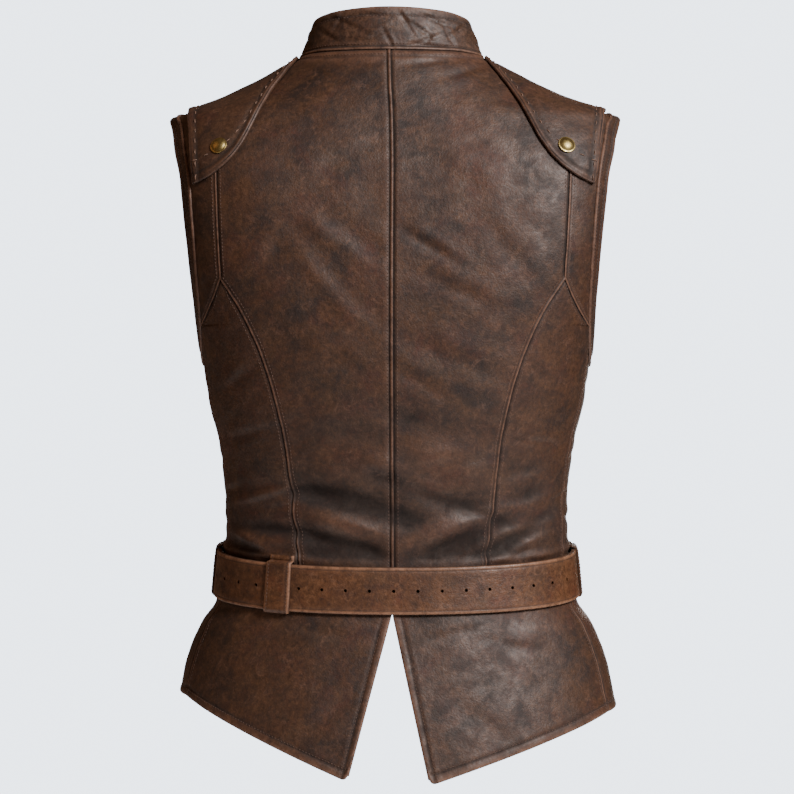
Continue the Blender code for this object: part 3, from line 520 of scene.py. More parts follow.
def laid_across(z, start, end, near_start, near_end, count, kept_from=None):
    """The angles of a panel's columns on each level, spaced by true distance across the leather.

    With kept_from, an angle, the middle columns keep their places where an armhole cuts into the
    start edge."""
    first = start if kept_from is None else np.minimum(start, kept_from)
    turn = first[:, None] + (end - first)[:, None] * np.linspace(0, 1, 81)
    travelled = lengths_along(form(z[:, None], turn, folds=False))
    upright = []
    for edge_turn, inward in ((start, 0.01), (end, -0.01)):
        side_line = form(z, edge_turn, folds=False)
        upright.append(squareness(side_line, form(z, edge_turn + inward, folds=False) - side_line))
    rows = []
    for i in range(len(z)):
        near = np.asarray(near_start) / upright[0][i], np.asarray(near_end) / upright[1][i]
        skipped = float(np.interp(start[i], turn[i], travelled[i]))
        at = skipped + spaced(travelled[i, -1] - skipped, *near, count)
        if skipped > 0:
            kept = spaced(travelled[i, -1], *near, count)
            inner = slice(len(near_start), len(at) - len(near_end))
            first, last = at[inner.start - 1], at[inner.stop]
            least = first + (last - first) * 0.2 * np.linspace(0, 1, count + 2)[1:-1]
            at[inner] = np.maximum(kept[inner], least)
        rows.append(np.interp(at, travelled[i], turn[i]))
    return np.array(rows)


def shell(name, outer, inner, finishes, wear, shade, closed=False):
    """A leather wall between two grids of points, its flesh side and cut edges in their own finishes."""
    rows, columns = outer.shape[:2]
    count = rows * columns
    index = np.arange(count).reshape(rows, columns)
    if closed:
        index = np.concatenate([index, index[:, :1]], axis=1)
    grain_side = np.stack([index[:-1, :-1], index[:-1, 1:], index[1:, 1:], index[1:, :-1]], -1).reshape(-1, 4)
    flesh_side = grain_side[:, ::-1] + count
    if closed:
        loops = [(index[0, :-1], index[0, 1:]), (index[-1, 1:], index[-1, :-1])]
    else:
        loop = np.concatenate([index[0, :-1], index[:-1, -1], index[-1, :0:-1], index[:0:-1, 0]])
        loops = [(loop, np.roll(loop, -1))]
    rim = np.concatenate([np.stack([b, a, a + count, b + count], -1) for a, b in loops])
    faces = np.concatenate([grain_side, flesh_side, rim])
    i, j = rows // 2 - 1, columns // 2
    a, b, d = outer[i, j], outer[i, j + 1], outer[i + 1, j]
    if np.dot(np.cross(b - a, d - a), a - inner[i, j]) < 0:
        faces = faces[:, ::-1]
    mesh = bpy.data.meshes.new(name)
    points = np.concatenate([outer.reshape(-1, 3), inner.reshape(-1, 3)]) * MM
    mesh.from_pydata(points.tolist(), [], faces.tolist())
    for paint, values in (("wear", wear), ("shade", shade)):
        values = np.concatenate([np.broadcast_to(values, (rows, columns)).ravel(), np.zeros(count)])
        mesh.attributes.new(paint, "FLOAT", "POINT").data.foreach_set("value", values.astype(np.float32))
    kinds = np.concatenate([np.zeros(len(grain_side)), np.ones(len(flesh_side)), np.full(len(rim), 2)])
    for finish in finishes:
        mesh.materials.append(finish)
    mesh.polygons.foreach_set("material_index", kinds.astype(np.int32))
    mesh.shade_smooth()
    mesh.set_sharp_from_angle(angle=radians(50))
    return linked(name, mesh)


Cut = namedtuple("Cut", "piece outer normal distances")
WAIST_SHADE_Z, DEEPEST_SHADE = -468, 0.92


def made_up(name, base, normal, edges, finishes, thick=LEATHER, under=None, closed=False, creased=1.0):
    """A leather piece on a grid of points. Its edges take one or more shapes each, with their strengths.

    Its outer face follows the grid, or its inner face lies at the height under, if one is given."""
    distances = distances_in(base)
    lift = crease_lift(base, normal) * creased
    # Painted shade darkens the fold valleys, by their depth, and a band round the waist just above the belt.
    hollow = np.where(normal[..., 1] > 0.2, fold_depth(base[..., 0], base[..., 2]), 0) * creased
    waist_shade = 1.2 * np.exp(-(((base[..., 2] - WAIST_SHADE_Z) / 34) ** 2)) * creased
    # Fold ridges and the crest of the belt's roll are made paler, partly as rubbed wear and partly as a
    # painted highlight.
    wear = np.clip(-hollow / 12 + 0.14 * belt_roll(base) * creased, 0, 0.4)
    shade = np.clip((hollow + waist_shade) / 4.2, 0, DEEPEST_SHADE)
    for where, kinds in edges.items():
        for kind, strength in kinds:
            lift = lift + kind.lift(distances[where]) * strength
            wear = np.maximum(wear, kind.wear(distances[where]) * strength)
            shade = np.maximum(shade, kind.shade(distances[where]) * strength)
    top = 0 if under is None else under + thick
    outer = base + normal * (lift + top)[..., None]
    inner = base + normal * (0.4 * lift + top - thick)[..., None]
    piece = shell(name + "_hide", outer, inner, finishes, np.clip(wear, 0, 1), np.clip(shade, 0, 1), closed)
    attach(piece, "root")
    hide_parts(name)
    return Cut(piece, outer, normal, distances)


def cut_piece(name, z, angle, *rest, **more):
    """The same on the form, from a grid of heights and angles."""
    z, angle = np.broadcast_arrays(z, angle)
    return made_up(name, form(z, angle), form_normal(z, angle), *rest, **more)


def noise(tree, scale, detail, roughness, kind="FBM", distortion=0.0):
    """A noise pattern in the object's own coordinates, its scale in repeats a metre."""
    node = tree.nodes.new("ShaderNodeTexNoise")
    node.noise_type = kind
    coordinates = tree.nodes.get("Texture Coordinate") or tree.nodes.new("ShaderNodeTexCoord")
    grain = {"Scale": scale, "Detail": detail, "Roughness": roughness, "Distortion": distortion}
    return wired(tree, node, {"Vector": coordinates.outputs["Object"], **grain}).outputs["Fac"]


def spread(tree, value, low, high, to_low=0.0, to_high=1.0):
    """Stretches a range of values to another one."""
    node = tree.nodes.new("ShaderNodeMapRange")
    ends = {"From Min": low, "From Max": high, "To Min": to_low, "To Max": to_high}
    return wired(tree, node, {"Value": value, **ends}).outputs["Result"]


def maths(tree, operation, first, second):
    """The sum or product of two values."""
    node = tree.nodes.new("ShaderNodeMath")
    node.operation = operation
    return wired(tree, node, {0: first, 1: second}).outputs["Value"]


def mixed(tree, share, first, second):
    """Two colours mixed, each a colour or a socket."""
    node = tree.nodes.new("ShaderNodeMix")
    node.data_type = "RGBA"
    colours = [number for number, socket in enumerate(node.inputs) if socket.type == "RGBA"]
    wired(tree, node, {"Factor": share, colours[0]: first, colours[1]: second})
    return next(socket for socket in node.outputs if socket.type == "RGBA")


def painted(tree, name):
    """A value painted on the mesh, such as how far an edge is made pale by wear and painted highlight, or its
    painted shade.
    """
    node = tree.nodes.new("ShaderNodeAttribute")
    node.attribute_name = name
    return node.outputs["Fac"]


def bumped(tree, height, distance, strength, under=None):
    """Fine relief by a height, on top of an earlier one."""
    node = tree.nodes.new("ShaderNodeBump")
    below = {"Normal": under} if under else {}
    relief = {"Height": height, "Distance": distance, "Strength": strength, **below}
    return wired(tree, node, relief).outputs["Normal"]


def grain_leather(name, deep, middle, dusty, rubbed_and_highlight, gloss=0.57, contrast=1.25, wrinkled=0.0):
    """Oiled and rubbed leather: cloudy colour, small cracks and scuffs, a pebbled grain, pale edges that are
    partly rubbed wear and partly painted highlight, and painted shade.
    """
    material, tree, shader = new_finish(name)
    clouds = spread(tree, noise(tree, 15, 6, 0.66), 0.41, 0.59)
    reds = spread(tree, noise(tree, 19, 4, 0.6, distortion=0.6), 0.5, 0.66)
    greys = spread(tree, noise(tree, 27, 5, 0.6, distortion=0.5), 0.5, 0.68)
    mottle = spread(tree, noise(tree, 52, 9, 0.72, distortion=0.5), 0.42, 0.62)
    specks = spread(tree, noise(tree, 230, 8, 0.75), 0.36, 0.66)
    scuffs = spread(tree, noise(tree, 95, 12, 0.85, distortion=0.9), 0.53, 0.72)
    cracks = spread(tree, noise(tree, 58, 8, 0.6, "RIDGED_MULTIFRACTAL", 0.3), 0.9, 1.6)
    red = (middle[0] * 1.25, middle[1] * 0.95, middle[2] * 1.1)
    grey = (middle[0] * 0.92, middle[1] * 1.25, middle[2] * 1.5)
    black, darkest = (tuple(c * share for c in deep) for share in (0.55, 0.25))
    clouding = [(reds, 0.7, red), (greys, 0.7, grey), (mottle, 0.55 * contrast, dusty)]
    marks = [(specks, 0.6 * contrast, black), (scuffs, 0.55 * contrast, rubbed_and_highlight)]
    if wrinkled:
        wrinkles = spread(tree, noise(tree, 66, 5, 0.55, "RIDGED_MULTIFRACTAL", 1.2), 0.95, 1.6)
        marks.append((wrinkles, 0.5 * wrinkled, rubbed_and_highlight))
    colour = mixed(tree, clouds, deep, middle)
    for place, strength, tint in clouding + marks:
        colour = mixed(tree, maths(tree, "MULTIPLY", place, strength), colour, tint)
    patches = spread(tree, noise(tree, 120, 6, 0.7), 0.35, 0.6, 0.2, 1.0)
    # The painted pale values mix in the pale colour, partly as worn edges and partly as painted highlight on
    # beads and ridges.
    colour = mixed(tree, maths(tree, "MULTIPLY", painted(tree, "wear"), patches), colour, rubbed_and_highlight)
    # Painted shade darkens the colour towards the darkest brown, and makes it rougher, in grooves, fold
    # valleys and under laps.
    shade = painted(tree, "shade")
    colour = mixed(tree, maths(tree, "MULTIPLY", shade, 0.85), colour, darkest)
    rough = spread(tree, mottle, 0, 1, gloss + 0.1, gloss - 0.06)
    rough = maths(tree, "ADD", rough, maths(tree, "MULTIPLY", shade, 0.3))
    pebbles = tree.nodes.new("ShaderNodeTexVoronoi")
    pebbles.feature = "SMOOTH_F1"
    wired(tree, pebbles, {"Scale": 620, "Vector": tree.nodes["Texture Coordinate"].outputs["Object"]})
    normal = bumped(tree, noise(tree, 34, 6, 0.6), 0.0024, 0.42)
    normal = bumped(tree, cracks, 0.0006, 0.4, normal)
    if wrinkled:
        normal = bumped(tree, wrinkles, 0.0026, 0.8 * wrinkled, normal)
    normal = bumped(tree, noise(tree, 260, 8, 0.7), 0.0006, 0.55, normal)
    normal = bumped(tree, pebbles.outputs["Distance"], 0.0003, 0.5, normal)
    sheen = {"Roughness": rough, "Specular IOR Level": 0.5, "Normal": normal}
    wired(tree, shader, {"Base Color": colour, **sheen})
    return material


def flesh_leather(name, colour, pale):
    """The napped inner side of the hide."""
    material, tree, shader = new_finish(name)
    clouds = spread(tree, noise(tree, 60, 8, 0.7), 0.3, 0.7)
    nap = bumped(tree, noise(tree, 900, 5, 0.8), 0.0006, 0.7)
    sheen = {"Roughness": 0.92, "Specular IOR Level": 0.2, "Normal": nap}
    wired(tree, shader, {"Base Color": mixed(tree, clouds, colour, pale), **sheen})
    return material


def thread_finish(name, colour):
    """Waxed thread, its twist seen as a fine ribbing."""
    material, tree, shader = new_finish(name)
    clouds = spread(tree, noise(tree, 300, 4, 0.6), 0.3, 0.7, 0.6, 1.25)
    scaled = tree.nodes.new("ShaderNodeVectorMath")
    scaled.operation = "SCALE"
    wired(tree, scaled, {0: colour, "Scale": clouds})
    ribbing = bumped(tree, noise(tree, 1500, 2, 0.5), 0.0002, 0.6)
    wired(tree, shader, {"Base Color": scaled.outputs["Vector"], "Roughness": 0.6, "Normal": ribbing})
    return material


body_leather = grain_leather(
    "body_leather",
    deep=(0.0135, 0.0040, 0.0012), middle=(0.049, 0.0158, 0.0048),
    dusty=(0.090, 0.042, 0.0210), rubbed_and_highlight=(0.150, 0.072, 0.043),
)
flesh_side = flesh_leather("flesh_side", (0.055, 0.026, 0.013), (0.100, 0.055, 0.033))
# The cut edges are dark, partly their own colour and partly painted shade standing for the shadow line under
# raised edges.
cut_edge_with_shade = flesh_leather("cut_edge_with_shade", (0.022, 0.009, 0.004), (0.060, 0.027, 0.014))
BODY = (body_leather, flesh_side, cut_edge_with_shade)
seam_thread = thread_finish("seam_thread", (0.085, 0.044, 0.030))

Stitch = namedtuple("Stitch", "pitch length thick")
FINE_STITCH = Stitch(3.4, 2.5, 0.75)
SEAM_SEWING = 5.0


def line_in(cut, where, distance):
    """The line of points, and their normals, at a distance from one edge of a piece."""
    far = cut.distances[where]
    if where in ("start", "end"):
        column = int(np.argmin(np.abs(np.median(far, axis=0) - distance)))
        return cut.outer[:, column], cut.normal[:, column]
    row = int(np.argmin(np.abs(np.median(far, axis=1) - distance)))
    return cut.outer[row], cut.normal[row]


def sewn(name, seams, stitch=FINE_STITCH, finish=seam_thread):
    """Rows of thread stitches in one mesh, each by its piece, the edge it follows and how far in.

    A stitch is a short swelling of thread that dives at both ends."""
    rings = [(-0.5, -0.35, 0.3), (0, 0.35, 0.5), (0.5, -0.35, 0.3)]
    corners = [(cos(pi / 2 * k), sin(pi / 2 * k)) for k in range(4)]
    stitches = []
    for seam in seams:
        line, normals = line_in(*seam)
        travelled = lengths_along(line)
        number = max(1, int(travelled[-1] / stitch.pitch))
        at = (np.arange(number) + 0.5) * travelled[-1] / number

        def place(values, where):
            return np.stack([np.interp(where, travelled, values[:, k]) for k in range(3)], axis=-1)

        middle, out = place(line, at), unit(place(normals, at))
        ahead = unit(place(line, at + 0.4) - place(line, at - 0.4))
        across = unit(np.cross(out, ahead))
        points = []
        for share, sink, radius in rings:
            for up, over in corners:
                raised = out * (sink + radius * up) + across * radius * over
                points.append(middle + ahead * share * stitch.length + raised * stitch.thick)
        stitches.append(np.stack(points, axis=1).reshape(-1, 3))
    points = np.concatenate(stitches)
    ring = [(k, (k + 1) % 4, 4 + (k + 1) % 4, 4 + k) for k in range(4)]
    faces = np.array([*ring, *(np.array(ring) + 4), (3, 2, 1, 0), (8, 9, 10, 11)])
    faces = (faces[None] + np.arange(0, len(points), 12)[:, None, None]).reshape(-1, 4)
    mesh = bpy.data.meshes.new(name)
    mesh.from_pydata((points * MM).tolist(), [], faces[:, ::-1].tolist())
    mesh.materials.append(finish)
    mesh.shade_smooth()
    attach(linked(name, mesh), "root")


def levels_down(*stops):
    """Heights from one stop down to the next, each stop but the last with its own spacing."""
    heights = [np.arange(top, bottom, -step) for (top, step), (bottom, _) in zip(stops, stops[1:])]
    return np.concatenate([*heights, [stops[-1][0]]])


def back_outer_edge(z):
    """The shoulder line, then the strip's seam, then the curved seam down to the waist."""
    x = np.where(z >= LONG_SEAM_TOP_Z, arm_strip_seam(z), long_seam(z))
    return np.where(z >= ARM_STRIP_TOP_Z, SHOULDER_LINE, back_angle(x, z))


FOLDS_TOP_Z, ABOVE_WAIST_Z, NECK_SEWING = -400, -514, 8.0

for side_name, side in SIDES.items():
    z = levels_down((0, 1.0), (-64, 2.4), (FOLDS_TOP_Z, 1.7), (ABOVE_WAIST_Z, 1.3), (WAIST_Z, 0))
    start = past(z, 0.0, -SEAM_LAP if side > 0 else 0.6)
    outer_lap = np.where(z < LONG_SEAM_TOP_Z, 1.0, np.where(z >= ARM_STRIP_TOP_Z, 0.3, -0.3))
    end = past(z, back_outer_edge(z), outer_lap)
    turn = laid_across(z, start, end, NEAR_SEAM, NEAR_SEAM, 40)
    below = (z[:, None] < LONG_SEAM_TOP_Z).astype(float)
    edges = {
        "start": [(LAPS_OVER if side > 0 else LIES_UNDER, 1.0)],
        "end": [(THIN_LAP, below), (LIES_UNDER, 1 - below)],
        "top": [(BELOW_COLLAR, 0.9)],
    }
    back = cut_piece(f"back_{side_name}", z[:, None], side * turn, edges, BODY)
    seams = [(back, "start", SEAM_SEWING), (back, "end", SEAM_SEWING), (back, "top", NECK_SEWING)]
    sewn(f"back_stitching_{side_name}", seams)

# The side backs and arm strips
# The side back is the panel beside the curved seam, from the strip's foot to the waist. The arm strip is the
# narrow piece between the back and the armhole, sewn on last, so that its long inner edge lies on top.
ARMHOLE = [
    (SHOULDER_TIP_Z, 0, 0),
    (-67, 12, 6),
    (-72, 24, 12),
    (-81, 38, 19),
    (-92, 50, 27),
    (-126, 71, 45),
    (-185, 73, 62),
    (-240, 58, 63),
    (-268, 41, 52),
    (-285, 26, 35),
    (-292, 13, 19),
    (UNDERARM_Z, 0, 0),
]
ARM_STRIP_FOOT_Z = -268
ARM_STRIP_FOOT = [(LONG_SEAM_TOP_Z, 165), (-240, 172.5), (-256, 181), (ARM_STRIP_FOOT_Z, 188)]
armhole_back = smooth_curve([(z, back) for z, back, _ in ARMHOLE])
armhole_front = smooth_curve([(z, front) for z, _, front in ARMHOLE])
arm_strip_foot = smooth_curve(ARM_STRIP_FOOT)


def armhole_edge(z, behind):
    """The angle of the armhole's back or front edge, or the shoulder line above it."""
    y = np.maximum(armhole_back(z), 0.0) if behind else -np.maximum(armhole_front(z), 0.0)
    return np.where(z < SHOULDER_TIP_Z, side_angle(y, np.minimum(z, SHOULDER_TIP_Z)), SHOULDER_LINE)


for side_name, side in SIDES.items():
    z = levels_down((LONG_SEAM_TOP_Z - 3, 1.6), (FOLDS_TOP_Z, 1.8), (ABOVE_WAIST_Z, 1.3), (WAIST_Z, 0))
    start = past(z, back_angle(long_seam(z), z), 0.2)
    end = np.minimum(armhole_edge(z, behind=True), past(z, SIDE_SEAM, 1.4))
    end = np.where(z >= ARM_STRIP_FOOT_Z, back_angle(arm_strip_foot(z), z), end)
    turn = laid_across(z, start, end, NEAR_SEAM, NEAR_SEAM, 26)
    joined = np.clip((UNDERARM_Z - z[:, None]) / 6, 0, 1)
    strip = np.clip((z[:, None] - ARM_STRIP_FOOT_Z) / 7, 0, 1)
    armhole = np.clip((ARM_STRIP_FOOT_Z - 2 - z[:, None]) / 6, 0, 1) * (1 - joined)
    edges = {
        "start": [(LIES_UNDER, 1.0)],
        "end": [(THIN_LAP, joined), (LIES_UNDER, strip), (HIDDEN_EDGE, armhole)],
    }
    side_back = cut_piece(f"side_back_{side_name}", z[:, None], side * turn, edges, BODY)

    z = levels_down((ARM_STRIP_TOP_Z, 1.2), (-75, 2.2), (ARM_STRIP_FOOT_Z - 4.5, 1))
    inner_x = np.where(z >= LONG_SEAM_TOP_Z, arm_strip_seam(z), arm_strip_foot(z))
    start = past(z, back_angle(inner_x, z), np.where(z >= ARM_STRIP_TOP_Z - 1, 0, -1.2))
    end = past(z, armhole_edge(z, behind=True), np.where(z >= SHOULDER_TIP_Z, 0.3, -0.3))
    turn = laid_across(z, np.minimum(start, end - 0.004), end, NEAR_SEAM, NEAR_SEAM, 14)
    edges = {"start": [(THIN_LAP, 1.0)], "end": [(HIDDEN_EDGE, 1.0)], "top": [(LIES_UNDER, 0.6)]}
    strip = cut_piece(f"arm_strip_{side_name}", z[:, None], side * turn, edges, BODY)
    seams = [(side_back, "start"), (side_back, "end"), (strip, "start")]
    sewn(f"side_stitching_{side_name}", [(*seam, SEAM_SEWING) for seam in seams])

# The fronts
# Each front runs from the shoulder line and the side seam to the lacing edge, with seven round holes for the
# eyelets punched 13 mm in from that edge.
NECK_PIT_Z, LACING_EDGE = -72, 11
NECKLINE = [(0, 90), (-3, 102), (-14, 121), (-29, 136), (-46, 150), (-60, 161), (NECK_PIT_Z, 171.7)]
EYELET_X, EYELET_HOLE = 24, 4.4
EYELETS, LOWEST_EYELET_Z, EYELET_SPACING = 7, -462, 61
EYELET_HEIGHTS = [LOWEST_EYELET_Z + EYELET_SPACING * step for step in range(EYELETS)]
neckline = smooth_curve(NECKLINE)


def standing(point, out):
    """The matrix that moves a piece modelled along +Z to a point in mm and turns it to a direction."""
    turned = Vector(out).to_track_quat("Z", "Y").to_matrix().to_4x4()
    return Matrix.Translation(Vector(point) * MM) @ turned


def punched(piece, spots, radius, depth):
    """Cuts round holes through a piece, each at a point and along a direction."""
    holes = []
    for spot in spots:
        bpy.ops.mesh.primitive_cylinder_add(vertices=20, radius=radius * MM, depth=depth * MM)
        bpy.context.object.matrix_world = standing(*spot)
        holes.append(bpy.context.object)
    bpy.ops.object.select_all(action="DESELECT")
    for hole in holes:
        hole.select_set(True)
    bpy.context.view_layer.objects.active = holes[0]
    bpy.ops.object.join()
    cut = piece.modifiers.new("holes", "BOOLEAN")
    cut.operation = "DIFFERENCE"
    cut.solver = "EXACT"
    cut.object = holes[0]
    bpy.ops.object.select_all(action="DESELECT")
    piece.select_set(True)
    bpy.context.view_layer.objects.active = piece
    bpy.ops.object.modifier_apply(modifier="holes")
    bpy.data.objects.remove(holes[0])
    bpy.ops.object.select_all(action="DESELECT")


def on_front(x, z, lift=0.0):
    """A point on the front, or raised off it, and the direction out of the leather."""
    turn = front_angle(x, z)
    out = form_normal(z, turn)
    return form(z, turn) + out * lift, out


for side_name, side in SIDES.items():
    z = levels_down((-1.5, 1.2), (-75, 2.6), (FOLDS_TOP_Z, 2.0), (ABOVE_WAIST_Z, 1.3), (WAIST_Z, 0))
    start = np.where(z > UNDERARM_Z, armhole_edge(z, behind=False), past(z, SIDE_SEAM, 0.4))
    end = np.where(z >= NECK_PIT_Z, np.radians(neckline(z)), front_angle(LACING_EDGE, z))
    turn = laid_across(z, start, end, NEAR_SEAM, NEAR_SEAM, 46, kept_from=SIDE_SEAM)
    arm = ((z < SHOULDER_TIP_Z) & (z > UNDERARM_Z))[:, None].astype(float)
    neck = (z >= NECK_PIT_Z)[:, None].astype(float)
    edges = {
        "start": [(HIDDEN_EDGE, arm), (LIES_UNDER, 1 - arm)],
        "end": [(LIES_UNDER, 0.8 * neck), (FREE_EDGE, 1 - neck)],
    }
    front = cut_piece(f"front_{side_name}", z[:, None], side * turn, edges, BODY)
    spots = [on_front(side * EYELET_X, height) for height in EYELET_HEIGHTS]
    punched(front.piece, spots, EYELET_HOLE, depth=12)
    sewn(f"front_stitching_{side_name}", [(front, "end", SEAM_SEWING)])

# The skirt
# Four panels that hang from the waist seam under the belt. The two at the back end in pointed tails with
# rounded tips at the open slit, and their edges are turned and stitched.
Skirt = namedtuple("Skirt", "tail_x tail_z side_z")
SKIRTS = {"left": Skirt(41, -698, -632), "right": Skirt(37, -701, -646)}
SLIT_TOP_Z, SLIT_TOP_X, TIP_ROUNDING = -545, 0.6, 7
HEM_FRONT_Z, SKIRT_FRONT_X, HEM_SEWING = -640, 30, 8.4
skirt_front_edge = smooth_curve([(WAIST_Z, LACING_EDGE), (HEM_FRONT_Z, SKIRT_FRONT_X)])


def hung_grid(start_at, end_at, hem_at, columns, rows):
    """A skirt panel's heights and angles, from the waist down to a hem that isn't level."""
    across = columns / columns[-1]
    down = rows / rows[-1]
    z = np.full((len(rows), len(across)), float(WAIST_Z))
    for _ in range(5):
        turn = start_at(z) + (end_at(z) - start_at(z)) * across
        hem = hem_at(form(z[-1], turn[-1], folds=False)[..., 0], across)
        z = WAIST_Z + (hem[None, :] - WAIST_Z) * down[:, None]
    return z, start_at(z) + (end_at(z) - start_at(z)) * across


for side_name, side in SIDES.items():
    shape = SKIRTS[side_name]
    side_x = float(form(shape.side_z, SIDE_SEAM)[0])
    slit_lap = 3.0 if side > 0 else -0.3

    def slit(z):
        """The edge of the tail, and above the slit the lap that closes it."""
        share = np.clip((SLIT_TOP_Z - z) / (SLIT_TOP_Z - shape.tail_z), 0, None)
        closed = np.clip((z - SLIT_TOP_Z - 1) / 4, 0, 1) * slit_lap
        return back_angle(SLIT_TOP_X + (shape.tail_x - SLIT_TOP_X) * share - closed, z)

    def back_hem(x, across):
        """The hem climbs straight from the rounded tip to the side seam."""
        past_tip = np.abs(x) - shape.tail_x
        straight = shape.tail_z + (shape.side_z - shape.tail_z) * past_tip / (side_x - shape.tail_x)
        inside = np.clip(1 - past_tip / TIP_ROUNDING, 0, 1)
        return straight + TIP_ROUNDING * (1 - np.sqrt(1 - inside**2 * 0.98))

    def front_hem(x, across):
        """The front's hem runs level with the angle, from the side seam to the opening."""
        return shape.side_z + (HEM_FRONT_Z - shape.side_z) * across

    z, turn = hung_grid(
        slit, lambda z: past(z, SIDE_SEAM, 0.6), back_hem,
        columns=spaced(205, NEAR_FREE, NEAR_SEAM, 52), rows=spaced(170, [0, 3], NEAR_FREE, 56),
    )
    open_slit = np.clip((SLIT_TOP_Z + 6 - z[:, :1]) / 14, 0, 1)
    edges = {"start": [(FREE_EDGE, open_slit)], "end": [(THIN_LAP, 1.0)], "bottom": [(FREE_EDGE, 1.0)]}
    skirt = cut_piece(f"skirt_back_{side_name}", z, side * turn, edges, BODY)
    hems = [(skirt, "start", HEM_SEWING), (skirt, "bottom", HEM_SEWING), (skirt, "end", SEAM_SEWING)]
    sewn(f"skirt_stitching_{side_name}", hems)

    z, turn = hung_grid(
        lambda z: past(z, SIDE_SEAM, 0.4), lambda z: front_angle(skirt_front_edge(z), z), front_hem,
        columns=spaced(225, NEAR_SEAM, NEAR_FREE, 50), rows=spaced(125, [0, 3], NEAR_FREE, 40),
    )
    edges = {"start": [(LIES_UNDER, 1.0)], "end": [(FREE_EDGE, 1.0)], "bottom": [(FREE_EDGE, 1.0)]}
    skirt = cut_piece(f"skirt_front_{side_name}", z, side * turn, edges, BODY)
    hems = [(skirt, "bottom", HEM_SEWING), (skirt, "end", HEM_SEWING)]
    sewn(f"front_hem_stitching_{side_name}", hems)

# The collar
# A stand collar of two layers of hide sewn together, 2.6 mm thick, open at the front. Its foot laps over
# the neck edge of the panels, and its upper edge is worn.
COLLAR_RISE_BACK, COLLAR_RISE_SIDE, COLLAR_RISE_FRONT = 41.5, 35, 34
COLLAR_TOP_WIDTH_SHARE, COLLAR_TOP_DEPTH_SHARE = 0.85, 0.87
COLLAR_LEATHER, COLLAR_HEIGHT = 2.6, 45
COLLAR_DIP, COLLAR_LAP, COLLAR_BOW = 3.5, 1.2, 0.8
collar_leather = grain_leather(
    "collar_leather",
    deep=(0.0125, 0.0040, 0.0014), middle=(0.045, 0.0158, 0.0054),
    dusty=(0.098, 0.049, 0.028), rubbed_and_highlight=(0.165, 0.088, 0.058), contrast=1.6, wrinkled=1.0,
)
front_z = -np.arange(1.5, 0.1 - NECK_PIT_Z, 1.5)
half_ring = [(0.0, turn) for turn in np.linspace(0, SHOULDER_LINE, 90)]
half_ring = np.array(half_ring + [(z, radians(neckline(z))) for z in front_z])
ring = np.concatenate([half_ring[:0:-1] * (1, -1), half_ring])
ahead = np.cos(ring[:, 1])
at_side = np.clip(1 - np.abs(ahead + 0.15) / 0.75, 0, 1)
ring[:, 0] -= COLLAR_DIP * at_side**2 * (3 - 2 * at_side) * np.clip(1 + ring[:, 0] / 30, 0, 1)
foot = form(ring[:, 0], ring[:, 1])
lean = neck_lean(ring[:, 0])
rise = COLLAR_RISE_SIDE + (COLLAR_RISE_BACK - COLLAR_RISE_SIDE) * np.clip(ahead, 0, 1)
rise = rise + (COLLAR_RISE_FRONT - COLLAR_RISE_SIDE) * np.clip(-ahead, 0, 1) ** 2
top_x = lean + (foot[:, 0] - lean) * COLLAR_TOP_WIDTH_SHARE
top = np.stack([top_x, foot[:, 1] * COLLAR_TOP_DEPTH_SHARE, foot[:, 2] + rise], axis=-1)
up = unit(top - foot)
around = np.gradient(foot + (top - foot) * 0.5, axis=0)
facing = unit(np.cross(up, around))
heights = spaced(1.0, np.array(NEAR_SEAM) / COLLAR_HEIGHT, np.array(NEAR_FREE) / COLLAR_HEIGHT, 8)
heights = heights[:, None, None]
foot = foot - up * COLLAR_LAP
base = foot + (top - foot) * heights + facing * np.sin(heights * pi) * COLLAR_BOW
facing = np.broadcast_to(facing, base.shape)
edges = {
    "top": [(LAPS_OVER, 1.0)],
    "bottom": [(FREE_EDGE, 0.8)],
    "start": [(FREE_EDGE, 0.8)],
    "end": [(FREE_EDGE, 0.8)],
}
collar = made_up("collar", base, facing, edges, (collar_leather, flesh_side, cut_edge_with_shade), COLLAR_LEATHER)
sewn("collar_stitching", [(collar, "top", SEAM_SEWING), (collar, "bottom", HEM_SEWING)])

# The armhole bands
# A strip of thin hide, 16 mm wide, sewn round the edge of each armhole on the outside with its outer edge
# rolled.
BAND_LEATHER, BAND_LAP = 1.6, 0.5
ROLL_SEWING, FOOT_SEWING = 6.1, 3.2
BAND_COLUMNS = np.array([
    -0.6, -0.1, 0.5, 1.2, 2.1, 3.1, 4.1, 5.1, 6.1, 7.5, 9, 10.5, 12, 13, 13.8, 14.6, 15.2, 15.7, 16.1,
])
BAND_EDGE = edge(
    lift=[
        (0, -1.2), (0.6, -0.2), (1.8, 0.5), (3.4, 0.5), (5, -0.2), (6.4, -0.6), (8, -0.4),
        (11, -0.3), (16, -0.3),
    ],
    wear=[(0, 1), (2, 0.8), (4, 0.25), (5.5, 0), (8, 0)],
    shade=[(0, 0), (4, 0), (5.8, 0.8), (7.6, 0), (9, 0)],
)
BAND_FOOT = edge(
    lift=[(0, -1.5), (0.6, -0.4), (1.8, 0.2), (2.8, -0.1), (3.8, -0.2), (5, 0), (6, 0)],
    wear=[(0, 0.9), (1.6, 0.8), (2.6, 0.1), (3.4, 0), (4, 0)],
    shade=[(0, 0), (2, 0), (3, 0.7), (4.4, 0), (5, 0)],
)
band_leather = grain_leather(
    "band_leather",
    deep=(0.0135, 0.0042, 0.0014), middle=(0.047, 0.0156, 0.0050),
    dusty=(0.083, 0.039, 0.021), rubbed_and_highlight=(0.145, 0.069, 0.041),
)


